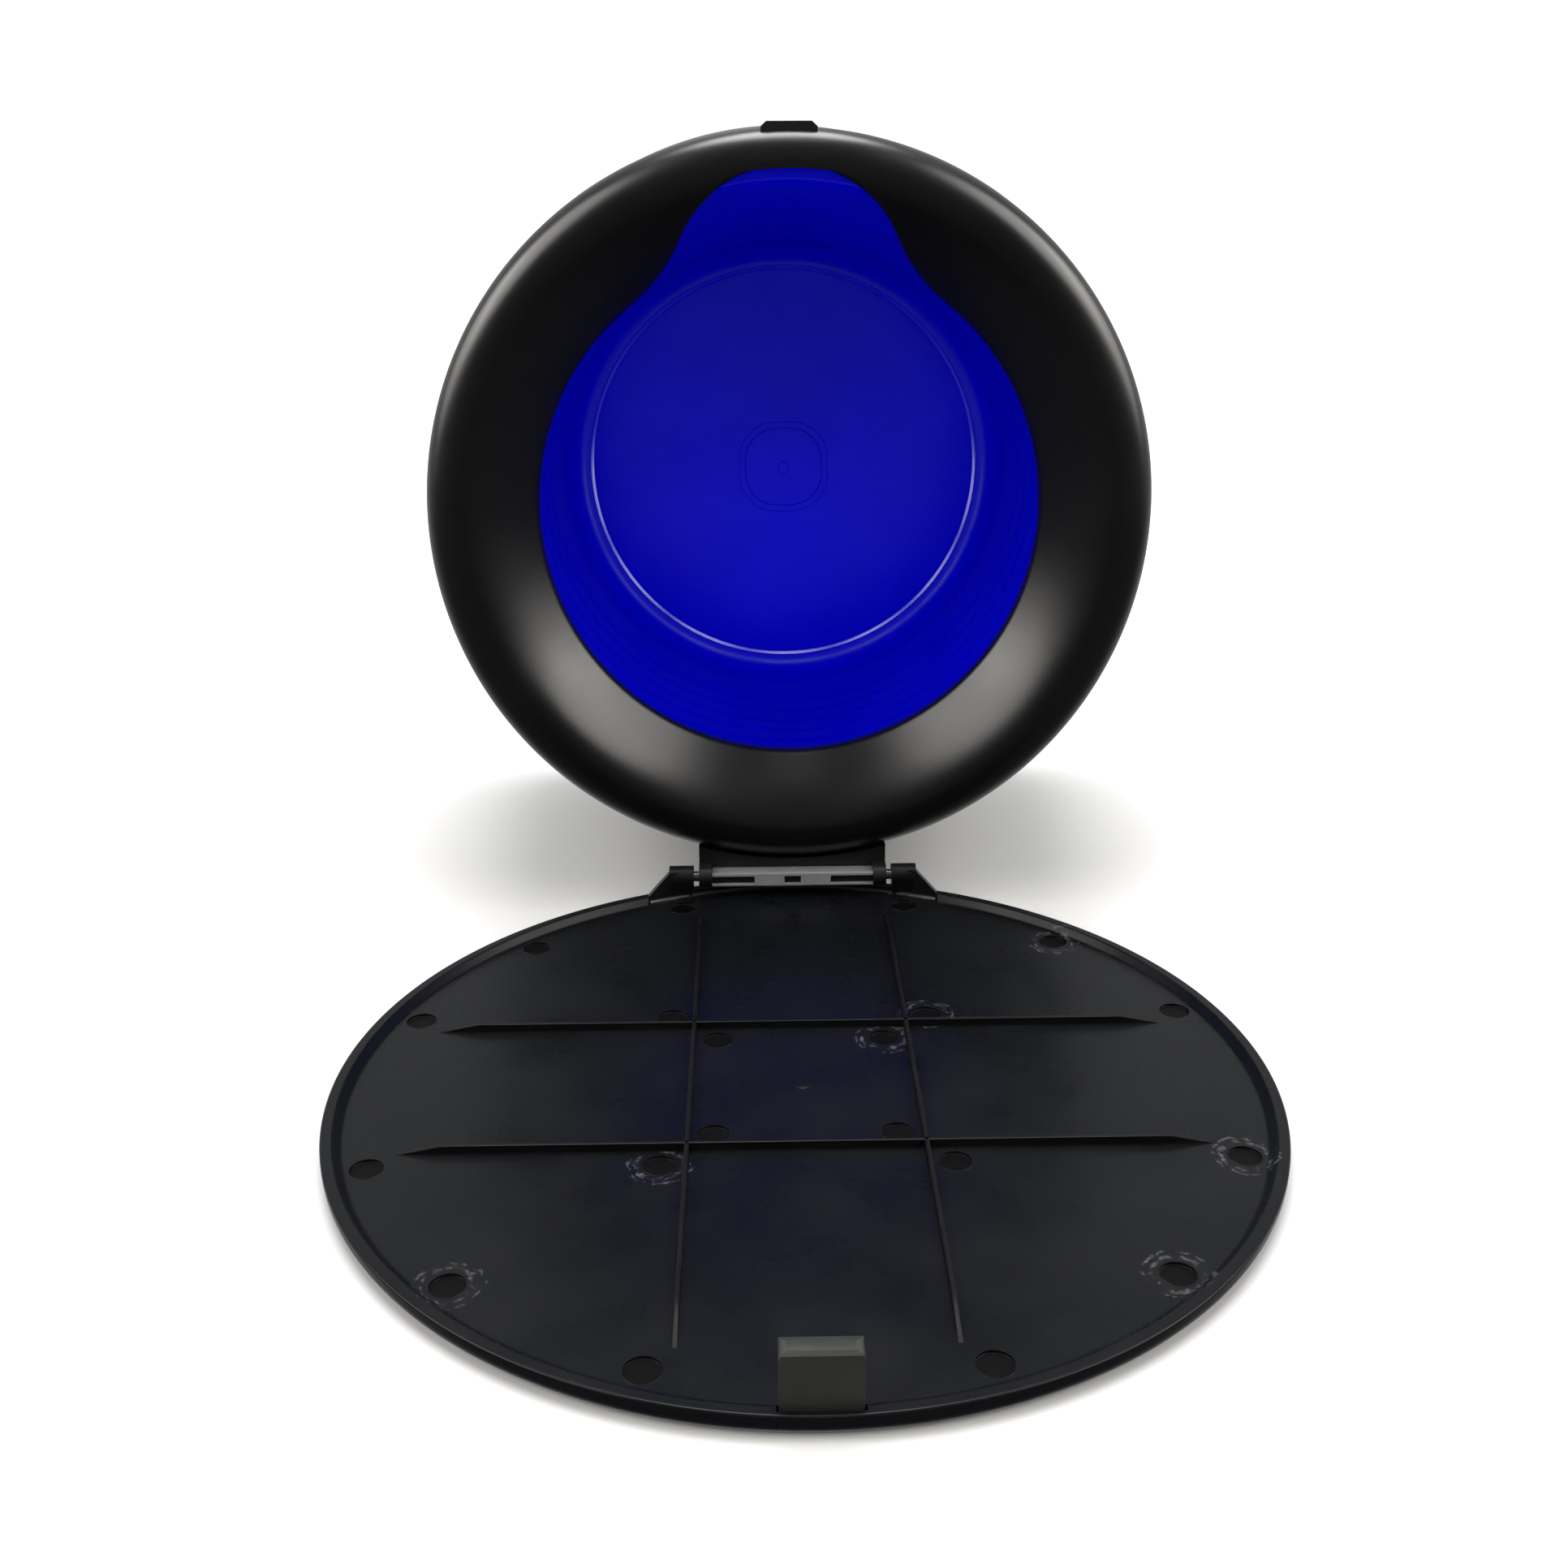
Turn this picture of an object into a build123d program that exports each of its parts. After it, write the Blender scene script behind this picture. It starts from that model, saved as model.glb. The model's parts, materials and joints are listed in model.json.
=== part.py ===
from build123d import *
import math
import os

# A round crushing bowl with a hinged lid, standing open: the lid lies inner face up on the table, and the
# bowl's head stands on the lid's rear hinge and leans back until its base edge meets the table.
# Millimetres. Origin at the centre of the lid's underside, +Z up, +Y towards the hinge, X along the hinge.

# ---------------------------------------------------------------- lid
lid_radius = 90.0
lid_floor = 2.6            # thickness of the lid's disc
rim_height = 1.6           # rim above the lid's inner face
rim_width = 2.1            # flat top of the rim
rim_draft = 1.5            # how far the rim's inner wall slopes in on its way down
lid_under_round = 2.8      # rounding under the rim
rib_offset = 21.6          # ribs from the centre line
rib_inset = 16.5           # ribs' ends in from the lid's edge
rib_run_out = 8.0          # length of the slope at each end of a rib
rib_height = 1.7
rib_thickness = 0.8
ejector_mark_radius = 3.0
ejector_mark_depth = 0.15
inner_mark_offset = 16.8
outer_mark_offset = 26.3
mark_inset = 7.65          # centres of the outer ring of marks, in from the lid's edge
mark_angles = (18.5, 45.0, 71.5)
gate_radius = 1.2
gate_height = 0.25

# ---------------------------------------------------------------- latch tongue
tongue_width = 12.3
tongue_thickness = 2.0
tongue_inset = 1.8         # tongue's outer face, in from the lid's edge
barb_lift = 0.5            # barb's underside above the catch, when closed
tongue_pivot_height = 2.0  # flex line above the table
tongue_corner = 1.5
tongue_bevel = 0.6
tongue_side_gap = 0.35
tongue_front_gap = 0.7
barb_height = 2.1
barb_face = 0.8            # upright nose of the barb
barb_top_inset = 0.6       # ramp's end, in from the tongue's inner face
latch_clearance = 0.4      # barb to catch

# ---------------------------------------------------------------- hinge
hinge_inset = 4.4          # hinge line in from the lid's edge
hinge_height = 4.8         # hinge line above the lid's inner face
bracket_half_width = 34.4
bracket_wall = 2.0
bracket_foot_length = 8.0
bracket_foot_thickness = 1.2
bracket_foot_inset = 4.4   # foot narrower than the wall, each side
lug_inner = 23.7
lug_width = 5.8
lug_radius = 2.6
lug_shoulder = 1.8         # outer slope starts this far above the hinge line
lug_root = 0.8             # lug's hull reaches this far down into the wall
pin_radius = 1.25
pin_running_clearance = 0.05
pin_press_clearance = 0.005
pin_chamfer = 0.3
ear_outer = 22.4
ear_thickness = 3.1
ear_radius = 2.6
arm_front = 2.3            # front of the arm's body behind the hinge line
arm_heel = 2.6             # underside of the arm below the hinge line
arm_heel_end = 7.0
arm_knee = (24.0, 1.6)     # underside's lowest point at the back: behind and below the hinge line
arm_length = 34.0
arm_seat_gap = 0.05        # arm to collar and shell
arm_top_above = 4.1        # arm's top edge above the collar's lowest point
bar_top = 1.35             # top of the hinge bar above the hinge line
bar_bottom = 2.0           # and its bottom below it
bar_front = 2.0
bar_pocket_width = 10.2
bar_pocket_low = 1.3       # pocket's lower edge below the hinge line
bar_pocket_high = 0.5      # and its upper edge above it
bar_pocket_depth = 0.9
bar_hole_width = 4.0
bar_round = 0.3

# ---------------------------------------------------------------- collar and seal
collar_inset = 8.0         # collar's widest line in from the lid's edge, when closed
collar_above_hinge = 2.7   # widest line of the collar above the hinge line, when closed
crest_inset = 8.5          # crest in from the widest line
crest_height = 4.5
collar_round_back = 3.0    # the side starts to round over this far behind the widest line
collar_skirt = 5.5         # straight outer skirt behind the widest line
collar_wall = 1.8
mouth_radius = 57.5
funnel_overrun = 1.5       # funnel's own end, in from the mouth's edge before that is cut
funnel_depth = 9.6         # and its depth behind the widest line
funnel_end_slope = 45.0    # degrees
spout_radius = 26.0
spout_inset = 7.7          # tip of the spout in from the collar's widest line
spout_blend = 40.0         # radius of the hollow curve between mouth and spout
seal_inset = 6.0           # middle of the seal ring in from the collar's widest line
seal_width = 1.6
seal_height = 1.0
seal_rib_width = 2.0
seal_rib_top = 3.2         # rib's root inside the collar's wall

# ---------------------------------------------------------------- bowl
bowl_mouth_inset = 4.6     # bowl's mouth in from the middle of the seal
bowl_mouth_depth = 9.8     # flange's face behind the collar's widest line
bowl_taper = 13.7          # mouth's radius less that of the corner where the wall's line meets the floor's
bowl_floor_depth = 87.4    # floor behind the collar's widest line
bowl_floor_round = 6.0
bowl_mouth_round = 0.8
bowl_wall = 1.6
bowl_flange_proud = 2.2    # flange's edge out from the middle of the seal
bowl_flange_thickness = 1.8
floor_groove_inset = 5.0   # groove's outer edge in from the corner
floor_groove_width = 0.5
floor_groove_depth = 0.4
centre_ring_radius = 11.0
centre_ring_corner = 9.0   # the ring is a little square
centre_ring_width = 1.2
centre_ring_depth = 0.3
centre_dot_radius = 1.3
centre_dot_height = 0.3
wall_ring_depths = (30.0, 36.0, 42.0, 48.0, 54.0, 60.0, 66.0)   # behind the collar's widest line
wall_ring_width = 0.9
wall_ring_relief = 0.12

# ---------------------------------------------------------------- shell, base plate and feet
shell_wall = 1.8
shell_flange_inset = 1.8   # flange's inner edge in from the middle of the seal
shell_seam = 0.3           # visible seam between collar and shell
shell_lip_gap = 0.15       # between the shell's lip and the collar's skirt
shell_lip_wall = 1.65
shell_lip_top = 3.0        # lip's edge behind the collar's widest line
shell_flare = 5.6          # base's radius less the collar's
base_behind_floor = 7.1    # base's edge behind the bowl's floor
base_round = 1.4
base_plate_thickness = 2.0
base_plate_inset = 1.6
base_plate_gap = 0.2
backing_rib_radii = (28.0, 46.0)
backing_rib_width = 1.6
foot_radius = 7.0
foot_height = 3.4
foot_sink = 0.6
foot_inset = 23.6          # centres of the feet in from the shell's base
foot_round = 0.8
foot_angles = (45.0, 135.0, 225.0, 315.0)
boss_inset = 7.6           # centres of the base screws in from the shell's base
boss_width = 7.0
boss_length = 12.0
boss_height = 14.0

# ---------------------------------------------------------------- screws and catch
screw_radius = 1.5
screw_head_radius = 2.8
screw_head_height = 1.7
screw_socket = 2.0         # across the hexagon's corners, halved
screw_socket_depth = 1.0
screw_hole_clearance = 0.2
screw_thread_gap = 0.02
screw_seat_gap = 0.1       # an arm screw's head stands this far off the curved wall
base_screw_length = 8.0
base_screw_angles = (0.0, 90.0, 180.0, 270.0)
arm_screw_length = 6.0
arm_screw_angle = 8.4      # either side of the arm's middle, about the bowl axis
arm_screw_back = 20.0      # behind the hinge line
catch_base_width = 12.1
catch_top_width = 9.6
catch_proud = 0.9
catch_shoulder = 0.2       # slopes start this far inside the collar's skirt
catch_behind = 1.2
catch_ahead = 0.8
catch_gap = 0.05
catch_root_width = 15.0
catch_root_inset = 2.4     # wide root's outer face in from the collar's widest line
catch_root_thickness = 1.2
table_clearance = 0.1

# ---------------------------------------------------------------- places that follow from them
rim_top = lid_floor + rim_height
rib_half_length = lid_radius - rib_inset
hinge_to_bowl = lid_radius - hinge_inset      # so the closed head is centred on the lid
hinge_z = lid_floor + hinge_height
hinge_y = hinge_to_bowl
collar_radius = lid_radius - collar_inset
crest_radius = collar_radius - crest_inset
spout_tip = collar_radius - spout_inset
funnel_end = (mouth_radius - funnel_overrun, funnel_depth)
seal_radius = collar_radius - seal_inset
bowl_mouth_radius = seal_radius - bowl_mouth_inset
bowl_corner_radius = bowl_mouth_radius - bowl_taper
bowl_flange_radius = seal_radius + bowl_flange_proud
floor_groove_radius = bowl_corner_radius - floor_groove_inset
shell_flange_inner = seal_radius - shell_flange_inset
base_radius = collar_radius + shell_flare
base_depth = bowl_floor_depth + base_behind_floor
foot_ring = base_radius - foot_inset
boss_ring = base_radius - boss_inset
catch_root_outer = collar_radius - catch_root_inset
catch_root_inner = catch_root_outer - catch_root_thickness
tongue_top = hinge_z + collar_above_hinge + catch_behind + barb_lift + barb_height

# The head leans back until the rounded edge of its base is table_clearance above the table.
edge_back = collar_above_hinge + base_depth - base_round
edge_down = base_radius - base_round - hinge_to_bowl
edge_drop = hinge_z - base_round - table_clearance
tilt = math.asin(edge_drop / math.hypot(edge_back, edge_down)) - math.atan2(edge_down, edge_back)

mouth_dir = Vector(0, -math.cos(tilt), math.sin(tilt))
head_up = Vector(0, math.sin(tilt), math.cos(tilt))
hinge_point = Vector(0, hinge_y, hinge_z)
head_centre = hinge_point + head_up * hinge_to_bowl - mouth_dir * collar_above_hinge

# front_plane: local x is X, local y runs up the head, local z comes out of the mouth.
# section_plane: local x is the radius from the bowl axis, local y comes out of the mouth.
# arm_plane, at the hinge line: local x runs back, away from the mouth, and local y runs up the head.
front_plane = Plane(origin=head_centre, x_dir=(1, 0, 0), z_dir=mouth_dir)
section_plane = Plane(origin=head_centre, x_dir=(1, 0, 0), z_dir=-head_up)
arm_plane = Plane(origin=hinge_point, x_dir=-mouth_dir, z_dir=(1, 0, 0))
bowl_axis = Axis(head_centre, mouth_dir)
hinge_plane = Plane(origin=hinge_point, x_dir=(0, 1, 0), z_dir=(1, 0, 0))

rim_inner_top = lid_radius - rim_width
lid_floor_radius = rim_inner_top - rim_draft
bracket_inner = lid_radius - bracket_wall
bracket_foot_inner = bracket_inner - bracket_foot_length
foot_half_width = bracket_half_width - bracket_foot_inset
lug_outer = lug_inner + lug_width
ear_inner = ear_outer - ear_thickness
arm_top = hinge_to_bowl - collar_radius + arm_top_above
tongue_y = -(lid_radius - tongue_inset - tongue_thickness / 2)
flange_under = bowl_mouth_depth + bowl_flange_thickness
bowl_bottom = bowl_floor_depth + bowl_wall
plate_back = base_depth - base_plate_inset
plate_front = plate_back - base_plate_thickness
inner_base_radius = base_radius - shell_wall
shell_top = collar_skirt + shell_seam
edge_start = base_depth - base_round


def write_part(builder, name):
    builder.part.label = name
    export_step(builder.part, "parts/" + name + ".step")


def shell_side(extra, start, end):
    # the shell's outer side line, moved out by extra, from depth start to depth end
    return Spline((collar_radius + extra, -start), (base_radius + extra, -end),
                  tangents=[(0, -1), (0, -1)])


def arm_screw_plane(side):
    # on the shell's inner wall below the bowl, local z pointing at the bowl axis
    turn = math.radians(arm_screw_angle * side)
    inward = head_up * math.cos(turn) - Vector(1, 0, 0) * math.sin(turn)
    depth = arm_screw_back - collar_above_hinge
    seat = collar_radius - shell_wall - screw_seat_gap
    return Plane(origin=head_centre - mouth_dir * depth - inward * seat, x_dir=mouth_dir, z_dir=inward)


os.makedirs("parts", exist_ok=True)

# ---------------------------------------------------------------- lid plate
with BuildPart() as lid_plate:
    with BuildSketch(Plane.XZ):
        with BuildLine():
            under = Line((0, 0), (lid_radius - lid_under_round, 0))
            side = TangentArc(under @ 1, (lid_radius, lid_under_round), tangent=(1, 0))
            Polyline(side @ 1, (lid_radius, rim_top), (rim_inner_top, rim_top),
                     (lid_floor_radius, lid_floor), (0, lid_floor), (0, 0))
        make_face()
    revolve(axis=Axis.Z)
    for rib_plane in (Plane.XZ, Plane.YZ):
        for place in (-rib_offset, rib_offset):
            with BuildSketch(rib_plane.offset(place)):
                Polygon((-rib_half_length, lid_floor), (rib_half_length, lid_floor),
                        (rib_half_length - rib_run_out, lid_floor + rib_height),
                        (-rib_half_length + rib_run_out, lid_floor + rib_height), align=None)
            extrude(amount=rib_thickness / 2, both=True)
    mark_places = []
    for across in (-1, 1):
        for along in (-1, 1):
            for offset in (inner_mark_offset, outer_mark_offset):
                mark_places.append((across * offset, along * offset))
            for angle in mark_angles:
                turn = math.radians(angle)
                mark_places.append((across * (lid_radius - mark_inset) * math.cos(turn),
                                    along * (lid_radius - mark_inset) * math.sin(turn)))
    with BuildSketch(Plane.XY.offset(lid_floor)):
        with Locations(mark_places):
            Circle(ejector_mark_radius)
    extrude(amount=-ejector_mark_depth, mode=Mode.SUBTRACT)
    with BuildSketch(Plane.XY.offset(lid_floor)):
        Circle(gate_radius)
    extrude(amount=gate_height)
    # the rear sector of the rim is left out for the hinge bracket
    with BuildSketch():
        Circle(lid_radius + rim_width)
        Circle(bracket_inner, mode=Mode.SUBTRACT)
        with Locations((0, lid_radius)):
            Rectangle(2 * bracket_half_width, lid_radius, mode=Mode.INTERSECT)
    extrude(amount=rim_top, mode=Mode.SUBTRACT)
    with BuildSketch(Plane.XY.offset(lid_floor)):
        Circle(lid_radius)
        Circle(lid_floor_radius, mode=Mode.SUBTRACT)
        with Locations((0, lid_radius)):
            Rectangle(2 * bracket_half_width, lid_radius, mode=Mode.INTERSECT)
    extrude(amount=rim_height, mode=Mode.SUBTRACT)
    # and the underside is recessed for the bracket's foot
    with BuildSketch():
        Circle(lid_radius)
        Circle(bracket_foot_inner, mode=Mode.SUBTRACT)
        with Locations((0, lid_radius)):
            Rectangle(2 * foot_half_width, lid_radius, mode=Mode.INTERSECT)
    extrude(amount=bracket_foot_thickness, mode=Mode.SUBTRACT)
    # slot and round seat for the latch tongue
    slot_back = tongue_y + tongue_thickness / 2 + tongue_side_gap
    slot_front = tongue_y - tongue_thickness / 2 - tongue_front_gap
    with BuildSketch(Plane.YZ):
        with Locations((tongue_y, tongue_pivot_height)):
            Circle(tongue_thickness / 2 + pin_running_clearance)
        with Locations(((slot_back + slot_front) / 2, tongue_pivot_height)):
            Rectangle(slot_back - slot_front, rim_top, align=(Align.CENTER, Align.MIN))
    extrude(amount=tongue_width / 2 + tongue_side_gap, both=True, mode=Mode.SUBTRACT)
write_part(lid_plate, "lid_plate")

# ---------------------------------------------------------------- hinge bracket
with BuildPart() as hinge_bracket:
    with BuildSketch(Plane.XZ):
        with BuildLine():
            under = Line((bracket_foot_inner, 0), (lid_radius - lid_under_round, 0))
            side = TangentArc(under @ 1, (lid_radius, lid_under_round), tangent=(1, 0))
            Polyline(side @ 1, (lid_radius, hinge_z + lug_shoulder), (bracket_inner, hinge_z + lug_shoulder),
                     (bracket_inner, bracket_foot_thickness), (bracket_foot_inner, bracket_foot_thickness),
                     (bracket_foot_inner, 0))
        make_face()
    revolve(axis=Axis.Z)
    with BuildSketch(Plane.XZ):
        Rectangle(2 * bracket_half_width, rim_top, align=(Align.CENTER, Align.MIN))
        for side in (-1, 1):
            Polygon((side * bracket_half_width, rim_top), (side * lug_outer, hinge_z + lug_shoulder),
                    (side * lug_inner, hinge_z + lug_shoulder), (side * lug_inner, rim_top), align=None)
    extrude(amount=-2 * lid_radius, mode=Mode.INTERSECT)
    with BuildSketch():
        Circle(bracket_inner)
        Rectangle(2 * foot_half_width, 2 * lid_radius, mode=Mode.SUBTRACT)
    extrude(amount=bracket_foot_thickness, mode=Mode.SUBTRACT)
    # the two lugs stand on the wall
    lug_middle = (lug_inner + lug_outer) / 2
    wall_y = math.sqrt((lid_radius - bracket_wall / 2) ** 2 - lug_middle ** 2)
    for side in (-1, 1):
        with BuildSketch(Plane.YZ.offset(side * lug_middle)):
            with Locations((hinge_y, hinge_z)):
                Circle(lug_radius)
            with Locations((wall_y, rim_top - lug_root / 2)):
                Rectangle(bracket_wall, lug_root)
            make_hull()
        extrude(amount=lug_width / 2, both=True)
    with BuildSketch(hinge_plane):
        Circle(pin_radius + pin_press_clearance)
    extrude(amount=bracket_half_width, both=True, mode=Mode.SUBTRACT)
write_part(hinge_bracket, "hinge_bracket")

# ---------------------------------------------------------------- hinge pins
for side, name in ((-1, "hinge_pin_left"), (1, "hinge_pin_right")):
    with BuildPart() as hinge_pin:
        with BuildSketch(hinge_plane.offset(side * (ear_inner + lug_outer) / 2)):
            Circle(pin_radius)
        extrude(amount=(lug_outer - ear_inner) / 2, both=True)
        chamfer(hinge_pin.edges().filter_by(GeomType.CIRCLE), pin_chamfer)
    write_part(hinge_pin, name)

# ---------------------------------------------------------------- latch tongue
tongue_outer = tongue_y - tongue_thickness / 2
tongue_inner = tongue_y + tongue_thickness / 2
catch_reach = collar_radius + catch_proud
barb_tip = -(catch_reach + latch_clearance)

with BuildPart() as latch_tongue:
    with BuildSketch(Plane.YZ):
        with Locations((tongue_y, tongue_pivot_height)):
            Circle(tongue_thickness / 2)
        Polygon((tongue_outer, tongue_pivot_height), (tongue_outer, tongue_top - tongue_bevel),
                (tongue_outer + tongue_bevel, tongue_top), (tongue_inner + barb_top_inset, tongue_top),
                (barb_tip, tongue_top - barb_height + barb_face), (barb_tip, tongue_top - barb_height),
                (tongue_inner, tongue_top - barb_height), (tongue_inner, tongue_pivot_height), align=None)
    extrude(amount=tongue_width / 2, both=True)
    # round the tongue's two top corners, as seen from the front
    with BuildSketch(Plane.XZ):
        with Locations((0, tongue_top)):
            RectangleRounded(tongue_width, 4 * tongue_top, tongue_corner, align=(Align.CENTER, Align.MAX))
    extrude(amount=lid_radius, mode=Mode.INTERSECT)
write_part(latch_tongue, "latch_tongue")

# ---------------------------------------------------------------- splash collar
def keyhole():
    # the mouth's circle and the spout's, joined by hollow curves that touch both
    spout_centre = spout_tip - spout_radius
    to_mouth = mouth_radius + spout_blend
    to_spout = spout_radius + spout_blend
    blend_up = (to_mouth ** 2 - to_spout ** 2 + spout_centre ** 2) / (2 * spout_centre)
    blend_out = math.sqrt(to_mouth ** 2 - blend_up ** 2)
    mouth_point = Vector(blend_out, blend_up) * (mouth_radius / to_mouth)
    spout_point = Vector(0, spout_centre) + Vector(blend_out, blend_up - spout_centre) * (spout_radius / to_spout)
    Circle(mouth_radius)
    with Locations((0, spout_centre)):
        Circle(spout_radius)
    Polygon((-mouth_point.X, mouth_point.Y), (mouth_point.X, mouth_point.Y), (spout_point.X, spout_point.Y),
            (-spout_point.X, spout_point.Y), align=None)
    with Locations((blend_out, blend_up), (-blend_out, blend_up)):
        Circle(spout_blend, mode=Mode.SUBTRACT)


end_turn = math.radians(funnel_end_slope)
end_dir = (-math.cos(end_turn), -math.sin(end_turn))
end_inner = (funnel_end[0] + collar_wall * math.sin(end_turn), -funnel_end[1] - collar_wall * math.cos(end_turn))
skirt_inner = collar_radius - collar_wall

with BuildPart() as splash_collar:
    with BuildSketch(section_plane):
        with BuildLine():
            skirt = Line((collar_radius, -collar_skirt), (collar_radius, -collar_round_back))
            outside = Spline(skirt @ 1, (crest_radius, crest_height), (funnel_end[0], -funnel_end[1]),
                             tangents=[(0, 1), (-1, 0), end_dir])
            edge = Line(outside @ 1, end_inner)
            inside = Spline(edge @ 1, (crest_radius, crest_height - collar_wall), (skirt_inner, -collar_round_back),
                            tangents=[(-end_dir[0], -end_dir[1]), (1, 0), (0, -1)])
            Polyline(inside @ 1, (skirt_inner, -collar_skirt), skirt @ 0)
        make_face()
    revolve(axis=bowl_axis)
    with BuildSketch(section_plane):
        with Locations((seal_radius, seal_height - bowl_mouth_depth)):
            Rectangle(seal_rib_width, seal_rib_top + bowl_mouth_depth - seal_height,
                      align=(Align.CENTER, Align.MIN))
    revolve(axis=bowl_axis)
    with BuildSketch(front_plane.offset(-2 * bowl_mouth_depth)):
        keyhole()
    extrude(amount=4 * bowl_mouth_depth, mode=Mode.SUBTRACT)
    with BuildSketch(front_plane.offset(-catch_behind - catch_gap)):
        with Locations((0, catch_root_outer)):
            Rectangle(catch_base_width + 2 * catch_gap, collar_radius, align=(Align.CENTER, Align.MIN))
        with Locations((0, catch_root_inner - catch_gap)):
            Rectangle(catch_root_width + 2 * catch_gap, catch_root_thickness + 2 * catch_gap,
                      align=(Align.CENTER, Align.MIN))
    extrude(amount=catch_behind + catch_ahead + 2 * catch_gap, mode=Mode.SUBTRACT)
write_part(splash_collar, "splash_collar")

# ---------------------------------------------------------------- catch plate
with BuildPart() as catch_plate:
    with BuildSketch(front_plane.offset(-catch_behind)):
        Polygon((-catch_root_width / 2, catch_root_inner), (catch_root_width / 2, catch_root_inner),
                (catch_root_width / 2, catch_root_outer), (catch_base_width / 2, catch_root_outer),
                (catch_base_width / 2, collar_radius - catch_shoulder), (catch_top_width / 2, catch_reach),
                (-catch_top_width / 2, catch_reach), (-catch_base_width / 2, collar_radius - catch_shoulder),
                (-catch_base_width / 2, catch_root_outer), (-catch_root_width / 2, catch_root_outer), align=None)
    extrude(amount=catch_behind + catch_ahead)
write_part(catch_plate, "catch_plate")

# ---------------------------------------------------------------- bowl seal
with BuildPart() as bowl_seal:
    with BuildSketch(section_plane):
        with Locations((seal_radius, -bowl_mouth_depth)):
            Rectangle(seal_width, seal_height, align=(Align.CENTER, Align.MIN))
    revolve(axis=bowl_axis)
write_part(bowl_seal, "bowl_seal")

# ---------------------------------------------------------------- crushing bowl
wall_slope = (bowl_mouth_radius - bowl_corner_radius) / (bowl_floor_depth - bowl_mouth_depth)

with BuildPart() as crushing_bowl:
    with BuildSketch(section_plane):
        with BuildLine():
            inside = FilletPolyline((0, -bowl_floor_depth), (bowl_corner_radius, -bowl_floor_depth),
                                    (bowl_mouth_radius, -bowl_mouth_depth),
                                    (bowl_flange_radius, -bowl_mouth_depth),
                                    radius=(bowl_floor_round, bowl_mouth_round))
            flange = Line(inside @ 1, (bowl_flange_radius, -flange_under))
            outside = FilletPolyline(flange @ 1, (bowl_mouth_radius + bowl_wall, -flange_under),
                                     (bowl_corner_radius + bowl_wall, -bowl_bottom), (0, -bowl_bottom),
                                     radius=(bowl_mouth_round, bowl_floor_round + bowl_wall))
            Line(outside @ 1, inside @ 0)
        make_face()
    revolve(axis=bowl_axis)
    with BuildSketch(front_plane.offset(-bowl_floor_depth)):
        Circle(floor_groove_radius)
        Circle(floor_groove_radius - floor_groove_width, mode=Mode.SUBTRACT)
    extrude(amount=-floor_groove_depth, mode=Mode.SUBTRACT)
    with BuildSketch(front_plane.offset(-bowl_floor_depth)):
        ring_outer = 2 * centre_ring_radius + centre_ring_width
        ring_inner = 2 * centre_ring_radius - centre_ring_width
        RectangleRounded(ring_outer, ring_outer, centre_ring_corner + centre_ring_width / 2)
        RectangleRounded(ring_inner, ring_inner, centre_ring_corner - centre_ring_width / 2, mode=Mode.SUBTRACT)
    extrude(amount=-centre_ring_depth, mode=Mode.SUBTRACT)
    with BuildSketch(front_plane.offset(-bowl_floor_depth)):
        Circle(centre_dot_radius)
    extrude(amount=centre_dot_height)
    # faint moulded rings round the wall
    with BuildSketch(section_plane):
        for depth in wall_ring_depths:
            wall_at = bowl_corner_radius + wall_slope * (bowl_floor_depth - depth)
            with Locations((wall_at, -depth)):
                Rectangle(2 * wall_ring_relief, wall_ring_width)
    revolve(axis=bowl_axis, mode=Mode.SUBTRACT)
write_part(crushing_bowl, "crushing_bowl")

# ---------------------------------------------------------------- outer shell
with BuildPart() as outer_shell:
    with BuildSketch(section_plane):
        with BuildLine():
            outside = shell_side(0, shell_top, edge_start)
            edge = TangentArc(outside @ 1, (base_radius - base_round, -base_depth), tangent=(0, -1))
            inner_line = shell_side(-shell_wall, shell_top, edge_start)
            Polyline(edge @ 1, (inner_base_radius, -base_depth), inner_line @ 1)
            Line(inner_line @ 0, outside @ 0)
        make_face()
        with BuildLine():
            Polyline((shell_flange_inner, -flange_under), (skirt_inner - shell_lip_gap - shell_lip_wall, -flange_under),
                     (skirt_inner - shell_lip_gap - shell_lip_wall, -shell_lip_top),
                     (skirt_inner - shell_lip_gap, -shell_lip_top), (skirt_inner - shell_lip_gap, -shell_top),
                     (collar_radius - shell_wall / 2, -shell_top),
                     (collar_radius - shell_wall / 2, -flange_under - shell_wall),
                     (shell_flange_inner, -flange_under - shell_wall), (shell_flange_inner, -flange_under))
        make_face()
    revolve(axis=bowl_axis)
    # bosses for the base screws, run out to the wall
    with BuildSketch(front_plane.offset(-plate_front)):
        with PolarLocations(boss_ring, len(base_screw_angles)):
            SlotOverall(boss_length, boss_width)
    extrude(amount=boss_height)
    with BuildSketch(section_plane):
        with BuildLine():
            outside = shell_side(0, shell_top, edge_start)
            edge = TangentArc(outside @ 1, (base_radius - base_round, -base_depth), tangent=(0, -1))
            Polyline(edge @ 1, (0, -base_depth), (0, 0), (collar_radius, 0), outside @ 0)
        make_face()
    revolve(axis=bowl_axis, mode=Mode.INTERSECT)
    with BuildSketch(front_plane.offset(-plate_front)):
        with PolarLocations(boss_ring, len(base_screw_angles)):
            Circle(screw_radius + screw_thread_gap)
    extrude(amount=base_screw_length, mode=Mode.SUBTRACT)
    for side in (-1, 1):
        with BuildSketch(arm_screw_plane(side)):
            Circle(screw_radius + screw_hole_clearance)
        extrude(amount=-arm_screw_length, mode=Mode.SUBTRACT)
write_part(outer_shell, "outer_shell")

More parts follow.
